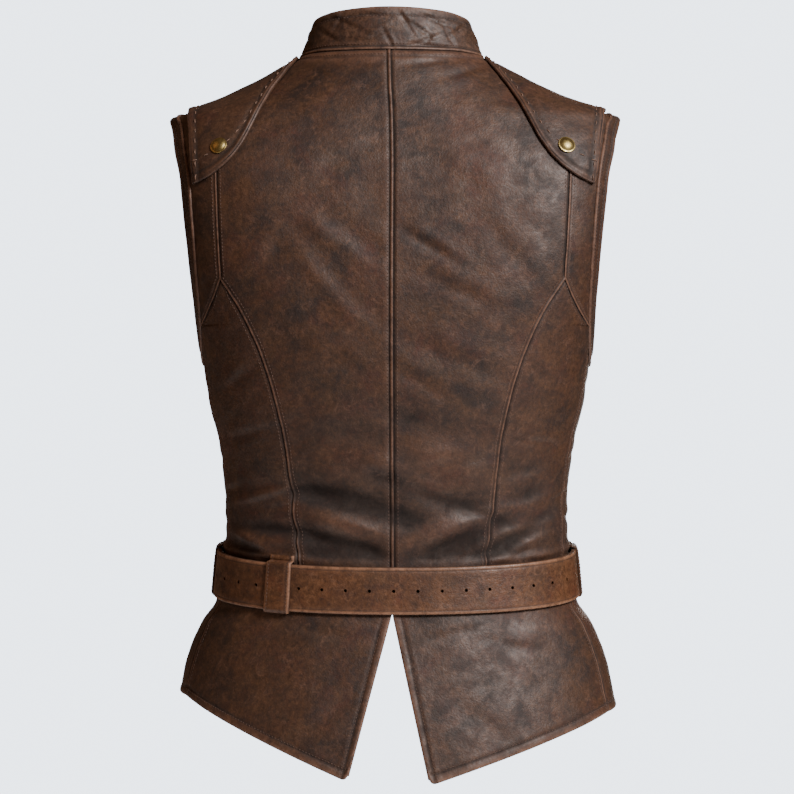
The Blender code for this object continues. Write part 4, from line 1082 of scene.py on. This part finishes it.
def armhole_ring(count):
    """Heights and angles evenly spaced round the armhole's edge, on the left side."""
    z = SHOULDER_TIP_Z + (UNDERARM_Z - SHOULDER_TIP_Z) * (1 - np.cos(np.linspace(0, pi, 240))) / 2
    heights = np.concatenate([z, z[-2::-1]])
    turn = np.concatenate([armhole_edge(z - 1e-6, behind=True), armhole_edge(z - 1e-6, behind=False)[-2::-1]])
    travelled = lengths_along(form(heights, turn, folds=False))
    at = np.arange(count) * travelled[-1] / count
    return np.interp(at, travelled, heights), np.interp(at, travelled, turn)


def settled(points):
    """The heights and angles on the form under points close to it."""
    for _ in range(6):
        z = points[..., 2]
        turn = np.arctan2(points[..., 0] - neck_lean(z), points[..., 1])
        out = form_normal(z, turn, folds=False)
        points = points - out * np.sum((points - form(z, turn, folds=False)) * out, axis=-1, keepdims=True)
    return z, turn


for side_name, side in SIDES.items():
    z, turn = armhole_ring(260)
    turn = side * turn
    rim_line = form(z, turn, folds=False)
    along = np.roll(rim_line, -1, axis=0) - np.roll(rim_line, 1, axis=0)
    away = unit(np.cross(form_normal(z, turn, folds=False), along)) * side
    for _ in range(24):
        away = unit(np.roll(away, 1, axis=0) + 2 * away + np.roll(away, -1, axis=0))
    widths = BAND_COLUMNS[:, None, None]
    points = rim_line + away * widths
    for _ in range(20):
        softer = (np.roll(points, 1, axis=1) + 2 * points + np.roll(points, -1, axis=1)) / 4
        points = points + (softer - points) * np.clip(widths / 10, 0, 1)
    z, turn = settled(points)
    edges = {"top": [(BAND_EDGE, 1.0)], "bottom": [(BAND_FOOT, 1.0)]}
    band = cut_piece(
        f"armhole_band_{side_name}", z, turn, edges, (band_leather, flesh_side, cut_edge_with_shade), BAND_LEATHER,
        under=BAND_LAP, closed=True, creased=0.4,
    )
    sewn(f"band_stitching_{side_name}", [(band, "top", ROLL_SEWING), (band, "bottom", FOOT_SEWING)])

# The shoulder caps
# A thicker piece over each shoulder with rolled edges, sewn by hand with large, widely spaced stitches and
# fastened through the strip by one domed snap.
CapLine = namedtuple("CapLine", "x back_z front_drop")
CAP = [
    CapLine(91, -6, 6),
    CapLine(94, -10, 7),
    CapLine(99, -17.5, 8),
    CapLine(105, -26.5, 10),
    CapLine(112, -37, 12),
    CapLine(121, -52, 13.5),
    CapLine(130, -70, 14.5),
    CapLine(140, -90, 15),
    CapLine(152, -107, 16),
    CapLine(166, -119.5, 17),
    CapLine(182, -128.5, 17),
    CapLine(199.5, -132.5, 13),
]
CAP_TIP_X, CAP_LEATHER, LAID_ON = 191, 2.4, 2.1
CAP_SEWING = 9.0
NEAR_CAP_START = [0, 0.5, 1.2, 2.5, 4, 6, 8]
CAP_OVERHANG = {"left": 1.5, "right": 6.5}
CAP_EDGE = edge(
    lift=[
        (0, -1.9), (0.5, -0.9), (1.2, -0.4), (2.0, -0.9), (2.8, -0.4), (3.8, 0.0), (5, -0.3),
        (8, -1.0), (9.2, -1.2), (11, -0.8), (15, -0.2), (20, 0),
    ],
    wear=[(0, 0.3), (0.8, 0.55), (1.5, 0.25), (2.1, 0), (3, 0.2), (3.8, 0.35), (4.8, 0.1), (6, 0), (7, 0)],
    shade=[(0, 0.6), (0.5, 0), (1.4, 0.1), (2.1, 1.0), (2.8, 0), (5, 0.05), (8.8, 0.6), (10.5, 0), (12, 0)],
)
CAP_SIDE = edge(
    lift=[
        (0, -0.5), (0.5, 0.1), (1.4, 0.4), (2.2, 0.0), (3, 0.3), (4, 0.5), (5.5, 0.2), (8, -0.6),
        (9.2, -0.7), (12, -0.2), (18, 0),
    ],
    wear=[(0, 0.5), (0.8, 0.8), (1.5, 0.4), (2.1, 0), (3, 0.3), (4, 0.4), (5, 0.1), (6, 0), (7, 0)],
    shade=[(0, 0.4), (0.5, 0), (1.4, 0.1), (2.1, 0.8), (2.8, 0), (6, 0.05), (8.8, 0.6), (10.5, 0), (12, 0)],
)
HAND_STITCH = Stitch(12.5, 6.5, 1.5)
cap_leather = grain_leather(
    "cap_leather",
    deep=(0.0135, 0.0042, 0.0014), middle=(0.047, 0.0158, 0.0052),
    dusty=(0.090, 0.043, 0.023), rubbed_and_highlight=(0.160, 0.077, 0.047), contrast=1.2, wrinkled=0.35,
)
hand_thread = thread_finish("hand_thread", (0.13, 0.07, 0.045))
lines_at = lengths_along(np.array([(line.x, line.back_z) for line in CAP], float))
cap_x, cap_back, cap_front = (smooth_curve(list(zip(lines_at, values))) for values in zip(*CAP))


def cap_grid(across, side, overhang):
    """Heights and angles of a cap, whose lines run from the front edge over the shoulder to the back."""
    share = np.concatenate([-np.linspace(1, 0, 60)[:-1], np.linspace(0, 1, 160)])[:, None]
    tip = np.clip((across - lines_at[-2]) / (lines_at[-1] - lines_at[-2]), 0, 1)
    x = cap_x(across) + (CAP_TIP_X - CAP[-1].x) * tip * np.clip(share, 0, 1)
    x = x + overhang * tip * (1 - np.clip(share, 0, 1)) ** 0.7
    ridge = ridge_height(cap_x(across) + overhang * tip) - 0.5
    drop = np.where(share > 0, ridge - cap_back(across), cap_front(across))
    z = ridge - drop * np.abs(share) ** 1.6
    turn = np.where(share > 0, back_angle(x, z), np.where(share < 0, front_angle(x, z), SHOULDER_LINE))
    travelled = lengths_along(form(z, turn, folds=False).swapaxes(0, 1))
    lines = []
    for length, heights, angles in zip(travelled, z.T, turn.T):
        at = spaced(length[-1], NEAR_FREE, NEAR_FREE, 40)
        lines.append((np.interp(at, length, heights), np.interp(at, length, angles)))
    z, turn = np.moveaxis(np.array(lines), 0, -1)
    return z, side * turn


for side_name, side in SIDES.items():
    across = spaced(lines_at[-1], NEAR_CAP_START, NEAR_FREE, 56)
    z, turn = cap_grid(across, side, CAP_OVERHANG[side_name])
    edges = {
        "top": [(CAP_EDGE, 1.0)],
        "bottom": [(CAP_EDGE, 1.0)],
        "start": [(CAP_EDGE, 0.4)],
        "end": [(CAP_SIDE, 1.0)],
    }
    cap = cut_piece(
        f"shoulder_cap_{side_name}", z, turn, edges, (cap_leather, flesh_side, cut_edge_with_shade), CAP_LEATHER,
        under=LAID_ON,
    )
    seams = [(cap, "bottom", CAP_SEWING), (cap, "end", CAP_SEWING)]
    sewn(f"cap_stitching_{side_name}", seams, HAND_STITCH, hand_thread)

# The snaps
# Domed brass heads, each one turned from a disc with a hollow round its rim, in patchily tarnished brass.
SNAP_X, SNAP_Z, SNAP_RADIUS = 165, -97.5, 8.5
SNAP_PROFILE = [
    (SNAP_RADIUS, 0.5), (8.2, 0.4), (7.4, 0.15), (6.9, 0.25), (6.0, 0.75), (4.8, 0.65),
    (3.4, 0.5), (1.8, 0.3), (0.5, 0.08),
]


def metal_finish(name, bright, dull, dirt, gloss):
    """Brass with a patchy brown tarnish and fine scratches."""
    material, tree, shader = new_finish(name)
    tarnish = spread(tree, noise(tree, 240, 7, 0.65), 0.35, 0.68)
    spots = spread(tree, noise(tree, 700, 6, 0.7), 0.5, 0.75)
    colour = mixed(tree, tarnish, bright, dull)
    colour = mixed(tree, maths(tree, "MULTIPLY", spots, 0.8), colour, dirt)
    normal = bumped(tree, noise(tree, 420, 6, 0.6), 0.0003, 0.4)
    normal = bumped(tree, noise(tree, 2600, 3, 0.6, distortion=2), 0.0001, 0.3, normal)
    sheen = {"Roughness": spread(tree, tarnish, 0, 1, gloss, gloss + 0.22), "Normal": normal}
    wired(tree, shader, {"Metallic": 1.0, "Base Color": colour, **sheen})
    return material


old_brass = metal_finish("old_brass", (0.42, 0.33, 0.13), (0.26, 0.19, 0.075), (0.05, 0.035, 0.018), 0.3)


def rides_for(piece, node):
    """The piece stands still with the vest in place of its node."""
    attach(piece, "root")
    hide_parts(node)


def set_in(model, name, node, point, out):
    """A copy of a brass piece with its own mesh, moved to its place on the vest."""
    piece = linked(name, model.data.copy())
    piece.data.transform(standing(point, out))
    piece.data.shade_smooth()
    piece.data.set_sharp_from_angle(angle=radians(40))
    rides_for(piece, node)


def turned_disc(radius, profile):
    """A round piece from a disc: each step of the profile lifts and narrows the last ring."""
    bpy.ops.object.select_all(action="DESELECT")
    bpy.ops.mesh.primitive_circle_add(vertices=40, radius=radius * MM, fill_type="NGON")
    piece = bpy.context.object
    bpy.ops.object.mode_set(mode="EDIT")
    bpy.ops.mesh.select_all(action="SELECT")
    reach = radius
    for wide, lift in profile:
        bpy.ops.mesh.extrude_region_move(TRANSFORM_OT_translate={"value": (0, 0, lift * MM)})
        share = wide / reach
        bpy.ops.transform.resize(value=(share, share, 1), center_override=(0, 0, 0))
        reach = wide
    bpy.ops.mesh.poke()
    bpy.ops.mesh.select_all(action="SELECT")
    bpy.ops.mesh.normals_make_consistent(inside=False)
    bpy.ops.object.mode_set(mode="OBJECT")
    piece.data.materials.append(old_brass)
    return piece


snap_head = turned_disc(SNAP_RADIUS - 0.5, SNAP_PROFILE)
for side_name, side in SIDES.items():
    turn = side * back_angle(SNAP_X, SNAP_Z)
    out = form_normal(SNAP_Z, turn)
    point = form(SNAP_Z, turn) + out * (LAID_ON + CAP_LEATHER + 0.1)
    set_in(snap_head, f"cap_snap_head_{side_name}", f"cap_snap_{side_name}", point, out)
bpy.data.objects.remove(snap_head)

# The eyelets
# Rolled brass eyelets, seven in each front: a rounded flange on the leather and a barrel through it.
FLANGE_RADIUS, FLANGE_ROLL = 4.15, 1.05
BARREL_RADIUS, BARREL_LENGTH, BARREL_WALL = 3.9, 3.2, 0.7
bpy.ops.mesh.primitive_torus_add(
    major_segments=28, minor_segments=10, location=(0, 0, 0.5 * MM),
    major_radius=FLANGE_RADIUS * MM, minor_radius=FLANGE_ROLL * MM,
)
eyelet = bpy.context.object
bpy.ops.object.transform_apply(location=True)
bpy.ops.mesh.primitive_cylinder_add(
    vertices=28, end_fill_type="NOTHING", location=(0, 0, -1.0 * MM),
    radius=BARREL_RADIUS * MM, depth=BARREL_LENGTH * MM,
)
barrel = bpy.context.object
bpy.ops.object.transform_apply(location=True)
wall = barrel.modifiers.new("wall", "SOLIDIFY")
wall.thickness = BARREL_WALL * MM
wall.offset = -1
bpy.ops.object.modifier_apply(modifier="wall")
eyelet.select_set(True)
bpy.context.view_layer.objects.active = eyelet
bpy.ops.object.join()
eyelet.data.materials.append(old_brass)
for side_name, side in SIDES.items():
    for number, height in enumerate(EYELET_HEIGHTS, start=1):
        name = f"eyelet_{side_name}_{number}"
        set_in(eyelet, name + "_ring", name, *on_front(side * EYELET_X, height))
bpy.data.objects.remove(eyelet)

# The lace
# One round leather lace. From a stopper knot on each top eyelet it crosses down between the fronts, out
# through one eyelet and in behind the one opposite, and passes straight across at the bottom pair.
LACE_RADIUS, KNOT_STRAND_RADIUS = 1.5, 1.35
lace_leather = grain_leather(
    "lace_leather",
    deep=(0.020, 0.008, 0.0035), middle=(0.042, 0.018, 0.009),
    dusty=(0.078, 0.038, 0.022), rubbed_and_highlight=(0.120, 0.062, 0.040), gloss=0.55,
)


def strand(side, over):
    """The points of one half of the lace, from the bottom pair of eyelets up to a top eyelet."""
    across = [EYELET_X, 23.8, 20.6, LACING_EDGE, 0, -LACING_EDGE, -20.4]
    lifts = [-3.4, 2.4, 4.6, 3.9, 1.3 if over else -2.9, -5.2, -5.2]
    points = []
    for low, high in zip(EYELET_HEIGHTS, EYELET_HEIGHTS[1:]):
        for x, lift in zip(across, lifts):
            height = low + (high - low) * (EYELET_X - x) / (2 * EYELET_X)
            points.append(on_front(side * x, height, lift)[0])
        side = -side
    return points + [on_front(side * EYELET_X, EYELET_HEIGHTS[-1], lift)[0] for lift in (-3.4, 1.2)]


def eased(points, count):
    """A smooth line through points, with a number of steps in each span."""
    points = np.array(points)
    padded = np.concatenate([[2 * points[0] - points[1]], points, [2 * points[-1] - points[-2]]])
    t = np.linspace(0, 1, count, endpoint=False)[:, None]
    line = []
    for a, b, c, d in zip(padded, padded[1:], padded[2:], padded[3:]):
        bend, twist = 2 * a - 5 * b + 4 * c - d, 3 * b - a - 3 * c + d
        line.append(0.5 * (2 * b + (c - a) * t + bend * t**2 + twist * t**3))
    return np.concatenate([*line, points[-1:]])


def round_strand(name, points, radius, finish, closed=False, steps=4):
    """A round cord or wire along points in mm."""
    curve = bpy.data.curves.new(name, "CURVE")
    curve.dimensions = "3D"
    curve.bevel_depth = radius * MM
    curve.bevel_resolution = steps
    curve.use_fill_caps = not closed
    spline = curve.splines.new("POLY")
    spline.points.add(len(points) - 1)
    spline.points.foreach_set("co", np.concatenate([points * MM, np.ones((len(points), 1))], axis=1).ravel())
    spline.use_cyclic_u = closed
    curve.materials.append(finish)
    return linked(name, curve)


bottom = [on_front(x, EYELET_HEIGHTS[0], -5.4)[0] for x in (-20.4, 0, 20.4)]
route = eased([*strand(-1, over=False)[::-1], *bottom, *strand(1, over=True)], 8)
lace = round_strand("lace_cord", route, LACE_RADIUS, lace_leather)
rides_for(lace, "lace")
around = np.linspace(0, 4 * pi, 60, endpoint=False)
reach = 2.5 + 0.9 * np.cos(1.5 * around)
loops = np.stack([reach * np.cos(around), reach * np.sin(around), 4.1 + 1.3 * np.sin(1.5 * around)], axis=-1)
for side_name, side in SIDES.items():
    matrix = np.array(standing(*on_front(side * EYELET_X, EYELET_HEIGHTS[-1])))
    turns = loops @ matrix[:3, :3].T + matrix[:3, 3] / MM
    name = f"lace_end_knot_{side_name}"
    knot = round_strand(name, turns, KNOT_STRAND_RADIUS, lace_leather, closed=True, steps=3)
    rides_for(knot, f"lace_knot_{side_name}")

# The belt
# A lighter strap of stiff hide, 45 mm wide and 3.5 mm thick, with burnished edges and a row of punched holes.
# It passes through its loops and the buckle, and its end lies over itself on the left front.
BELT_LEATHER = 3.5
BELT_UPRIGHT, BELT_WIDEST = 0.5, 18
BELT_LIFT, BELT_OVERLAP_LIFT, BELT_TAIL_X = 1.5, 6.1, 150
HOLE_SPACING, HOLE_RADIUS = 23, 1.6
BUCKLE_HALF_WIDTH, BUCKLE_WIRE = 20, 2.1
NEAR_BELT_END = [0, 0.5, 1.3, 2.6, 3.5, 4.4, 7]
NEAR_BELT_EDGE = [0, 0.35, 0.9, 1.7, 2.7, 3.5, 4.3, 6]
BELT_EDGE = edge(
    lift=[(0, -1.1), (0.5, -0.45), (1.3, -0.05), (2.6, 0.12), (3.4, -0.18), (4.2, 0.05), (6, 0.1), (12, 0)],
    wear=[(0, 0.6), (1.0, 1), (2.4, 0.7), (3.2, 0.1), (5, 0.15), (9, 0)],
    shade=[(0, 0.5), (0.8, 0), (2.8, 0), (3.5, 0.6), (4.4, 0), (5, 0)],
)
belt_leather = grain_leather(
    "belt_leather",
    deep=(0.037, 0.0108, 0.0022), middle=(0.090, 0.0300, 0.0078),
    dusty=(0.150, 0.067, 0.032), rubbed_and_highlight=(0.240, 0.115, 0.062), gloss=0.47, contrast=1.4,
)
belt_edge = flesh_leather("belt_edge", (0.040, 0.018, 0.010), (0.085, 0.042, 0.024))


def belt_angle(x):
    """The angle of a place on the belt's front."""
    return float(front_angle(x, BELT_Z))


def on_belt_line(z, angle, lift):
    """Points on the slanted line of the belt, raised off the form."""
    z, angle, lift = np.broadcast_arrays(*(np.asarray(values, float) for values in (z, angle, lift)))
    out = form_normal(BELT_Z, angle, folds=False) * (1, 1, 0)
    height = z + BELT_TILT * (back_reach(BELT_Z) - form(BELT_Z, angle, folds=False)[..., 1])
    widest = height - z + BELT_Z - BELT_WIDEST
    on_belt = np.abs(z - BELT_Z) < BELT_WIDTH / 2 + 2
    lean = np.where(on_belt, height + (widest - height) * BELT_UPRIGHT, height)
    point = form(lean, angle, folds=False)
    point[..., 2] = height
    return point + unit(out) * lift[..., None]


def belt_lift(angle):
    """How far the belt lies off the form: it climbs over its own end at the buckle."""
    climb_from, climb_to = -belt_angle(34), -2 * pi + belt_angle(8)
    share = np.clip((climb_from - angle) / (climb_from - climb_to), 0, 1)
    return BELT_LIFT + (BELT_OVERLAP_LIFT - BELT_LIFT) * share * share * (3 - 2 * share)


start, end = belt_angle(BUCKLE_HALF_WIDTH + BUCKLE_WIRE + 0.6), belt_angle(BELT_TAIL_X) - 2 * pi
fine = np.linspace(start, end, 2000)
travelled = lengths_along(on_belt_line(BELT_Z, fine, belt_lift(fine)))
at = spaced(travelled[-1], NEAR_BELT_END, NEAR_BELT_END, 460)
turn = np.interp(at, travelled, fine)
rise = BELT_WIDTH / 2 - spaced(BELT_WIDTH, NEAR_BELT_EDGE, NEAR_BELT_EDGE, 9)[:, None]
pointed = np.clip(1 - (travelled[-1] - at) / 16, 0, 1)
rise = rise * (1 - 0.55 * pointed**2)
base = on_belt_line(BELT_Z + rise, turn[None], belt_lift(turn)[None])
normal = np.broadcast_to(unit(form_normal(BELT_Z, turn, folds=False) * (1, 1, 0)), base.shape)
edges = {where: [(BELT_EDGE, 1.0)] for where in ("top", "bottom", "start", "end")}
belt = made_up(
    "belt", base, normal, edges, (belt_leather, flesh_side, belt_edge), BELT_LEATHER, under=0.0, creased=0.45
)
prong_at = float(np.interp(2 * pi - belt_angle(9), -fine, travelled))
spots = []
for place in np.arange(prong_at % HOLE_SPACING + HOLE_SPACING, travelled[-1] - 20, HOLE_SPACING):
    angle = np.interp(place, travelled, fine)
    out = unit(form_normal(BELT_Z, angle, folds=False) * (1, 1, 0))
    spots.append((on_belt_line(BELT_Z, angle, belt_lift(angle) + BELT_LEATHER / 2), out))
punched(belt.piece, spots, HOLE_RADIUS, depth=8)

# The belt loops
# Straps that hold the belt to the vest, turned in above and below it. The one at the back is a wide keeper
# of the belt's own hide; the others are of the dark one.
LOOP_LEATHER, LOOP_SEWING, NEAR_LOOP_EDGE = 2.0, 3.0, [0, 0.4, 1, 2, 3, 4]
BeltLoop = namedtuple("BeltLoop", "name angle width tab")
BELT_LOOPS = [
    BeltLoop("belt_loop_back", 50.3, 26, 8),
    BeltLoop("belt_loop_left", 92, 22, 4),
    BeltLoop("belt_loop_right", -92, 22, 4),
    BeltLoop("belt_loop_front", 156, 14, 4),
]
half = BELT_WIDTH / 2
for loop in BELT_LOOPS:
    of_belt_hide = loop.name == "belt_loop_back"
    over_tail = BELT_OVERLAP_LIFT - BELT_LIFT if loop.name == "belt_loop_front" else 0
    clear = BELT_LIFT + BELT_LEATHER + 0.35 + over_tail
    turned_in = [(half + 2.4, 1.5), (half + 0.9, 3.0), (half + 0.8, clear - 0.8), (half - 1.2, clear + 0.2)]
    over = [(8, clear + 0.35), (0, clear + 0.4), (-8, clear + 0.35)]
    below = [(1.2 - half, clear + 0.2), (-half - 0.5, clear - 0.8), (-half - 0.6, 3.0), (-half - 0.6, 1.0)]
    path = np.array([(half + loop.tab, 1.3), *turned_in, *over, *below])
    travelled = lengths_along(path)
    at = np.linspace(0, travelled[-1], 90)
    path = np.stack([np.interp(at, travelled, path[:, k]) for k in (0, 1)], axis=-1)
    for _ in range(3):
        path[1:-1] = (path[:-2] + path[1:-1] * 2 + path[2:]) / 4
    along = unit(np.gradient(path, axis=0))
    outside = path + np.stack([along[:, 1], -along[:, 0]], -1) * LOOP_LEATHER
    middle = radians(loop.angle)
    small_turn = form(BELT_Z, middle + 0.01, folds=False) - form(BELT_Z, middle, folds=False)
    speed = np.linalg.norm(small_turn) / 0.01
    widths = spaced(loop.width, NEAR_LOOP_EDGE, NEAR_LOOP_EDGE, 8) - loop.width / 2
    turn = middle + widths[None] / speed
    outer = on_belt_line(BELT_Z + outside[:, :1], turn, outside[:, 1:])
    inner = on_belt_line(BELT_Z + path[:, :1], turn, path[:, 1:])
    near, far = (1.5, 0.4) if of_belt_hide else (0.8, 0.8)
    edges = {"start": [(BELT_EDGE, near)], "end": [(BELT_EDGE, far)]}
    finishes = (belt_leather if of_belt_hide else band_leather, flesh_side, cut_edge_with_shade)
    keeper = made_up(loop.name, outer, unit(outer - inner), edges, finishes, LOOP_LEATHER, creased=0.6)
    sewn(f"{loop.name}_stitching", [(keeper, "start", LOOP_SEWING), (keeper, "end", LOOP_SEWING)])

# The buckle
# A plain rounded frame of antique brass wire round the strap, with one prong through the strap's hole.
BUCKLE_HALF_HEIGHT, BUCKLE_CORNER, PRONG_WIRE = 28.5, 7, 1.5
BAR_LIFT, FRAME_LEAN = 2.8, 6.6


def bent_wire(node, points, radius, closed):
    """Brass wire bent along a smooth line."""
    rides_for(round_strand(node + "_wire", points, radius, old_brass, closed), node)


def buckle_lift(x):
    """The frame leans: its bar lies at the level of the belt's end, its far side on the strap."""
    return BAR_LIFT + FRAME_LEAN * (BUCKLE_HALF_WIDTH - x) / (2 * BUCKLE_HALF_WIDTH)


frame_points = []
for quarter, (sx, sz) in enumerate(((1, 1), (-1, 1), (-1, -1), (1, -1))):
    for turn in pi / 2 * (quarter + np.linspace(0, 1, 9)):
        x = sx * (BUCKLE_HALF_WIDTH - BUCKLE_CORNER) + BUCKLE_CORNER * cos(turn)
        z = sz * (BUCKLE_HALF_HEIGHT - BUCKLE_CORNER) + BUCKLE_CORNER * sin(turn)
        frame_points.append(on_belt_line(BELT_Z + z, belt_angle(x), buckle_lift(x)))
straight = []
for a, b in zip(frame_points, [*frame_points[1:], frame_points[0]]):
    number = max(1, int(np.linalg.norm(b - a) / 3))
    straight.append(a + (b - a) * np.linspace(0, 1, number, endpoint=False)[:, None])
bent_wire("buckle_frame", np.concatenate(straight), BUCKLE_WIRE, closed=True)
rest = buckle_lift(-BUCKLE_HALF_WIDTH) + BUCKLE_WIRE + PRONG_WIRE + 0.9
prong_route = [(17.3, 2.7), (12.8, 3.3), (9.5, 7.2), (6.2, 11.6), (2, 12.8), (-10, 13.5)]
prong_route += [(-BUCKLE_HALF_WIDTH, rest), (-24, rest - 0.4)]
prong_points = [on_belt_line(BELT_Z, belt_angle(x), lift) for x, lift in prong_route]
bent_wire("buckle_prong", eased(prong_points, 8), PRONG_WIRE, closed=False)
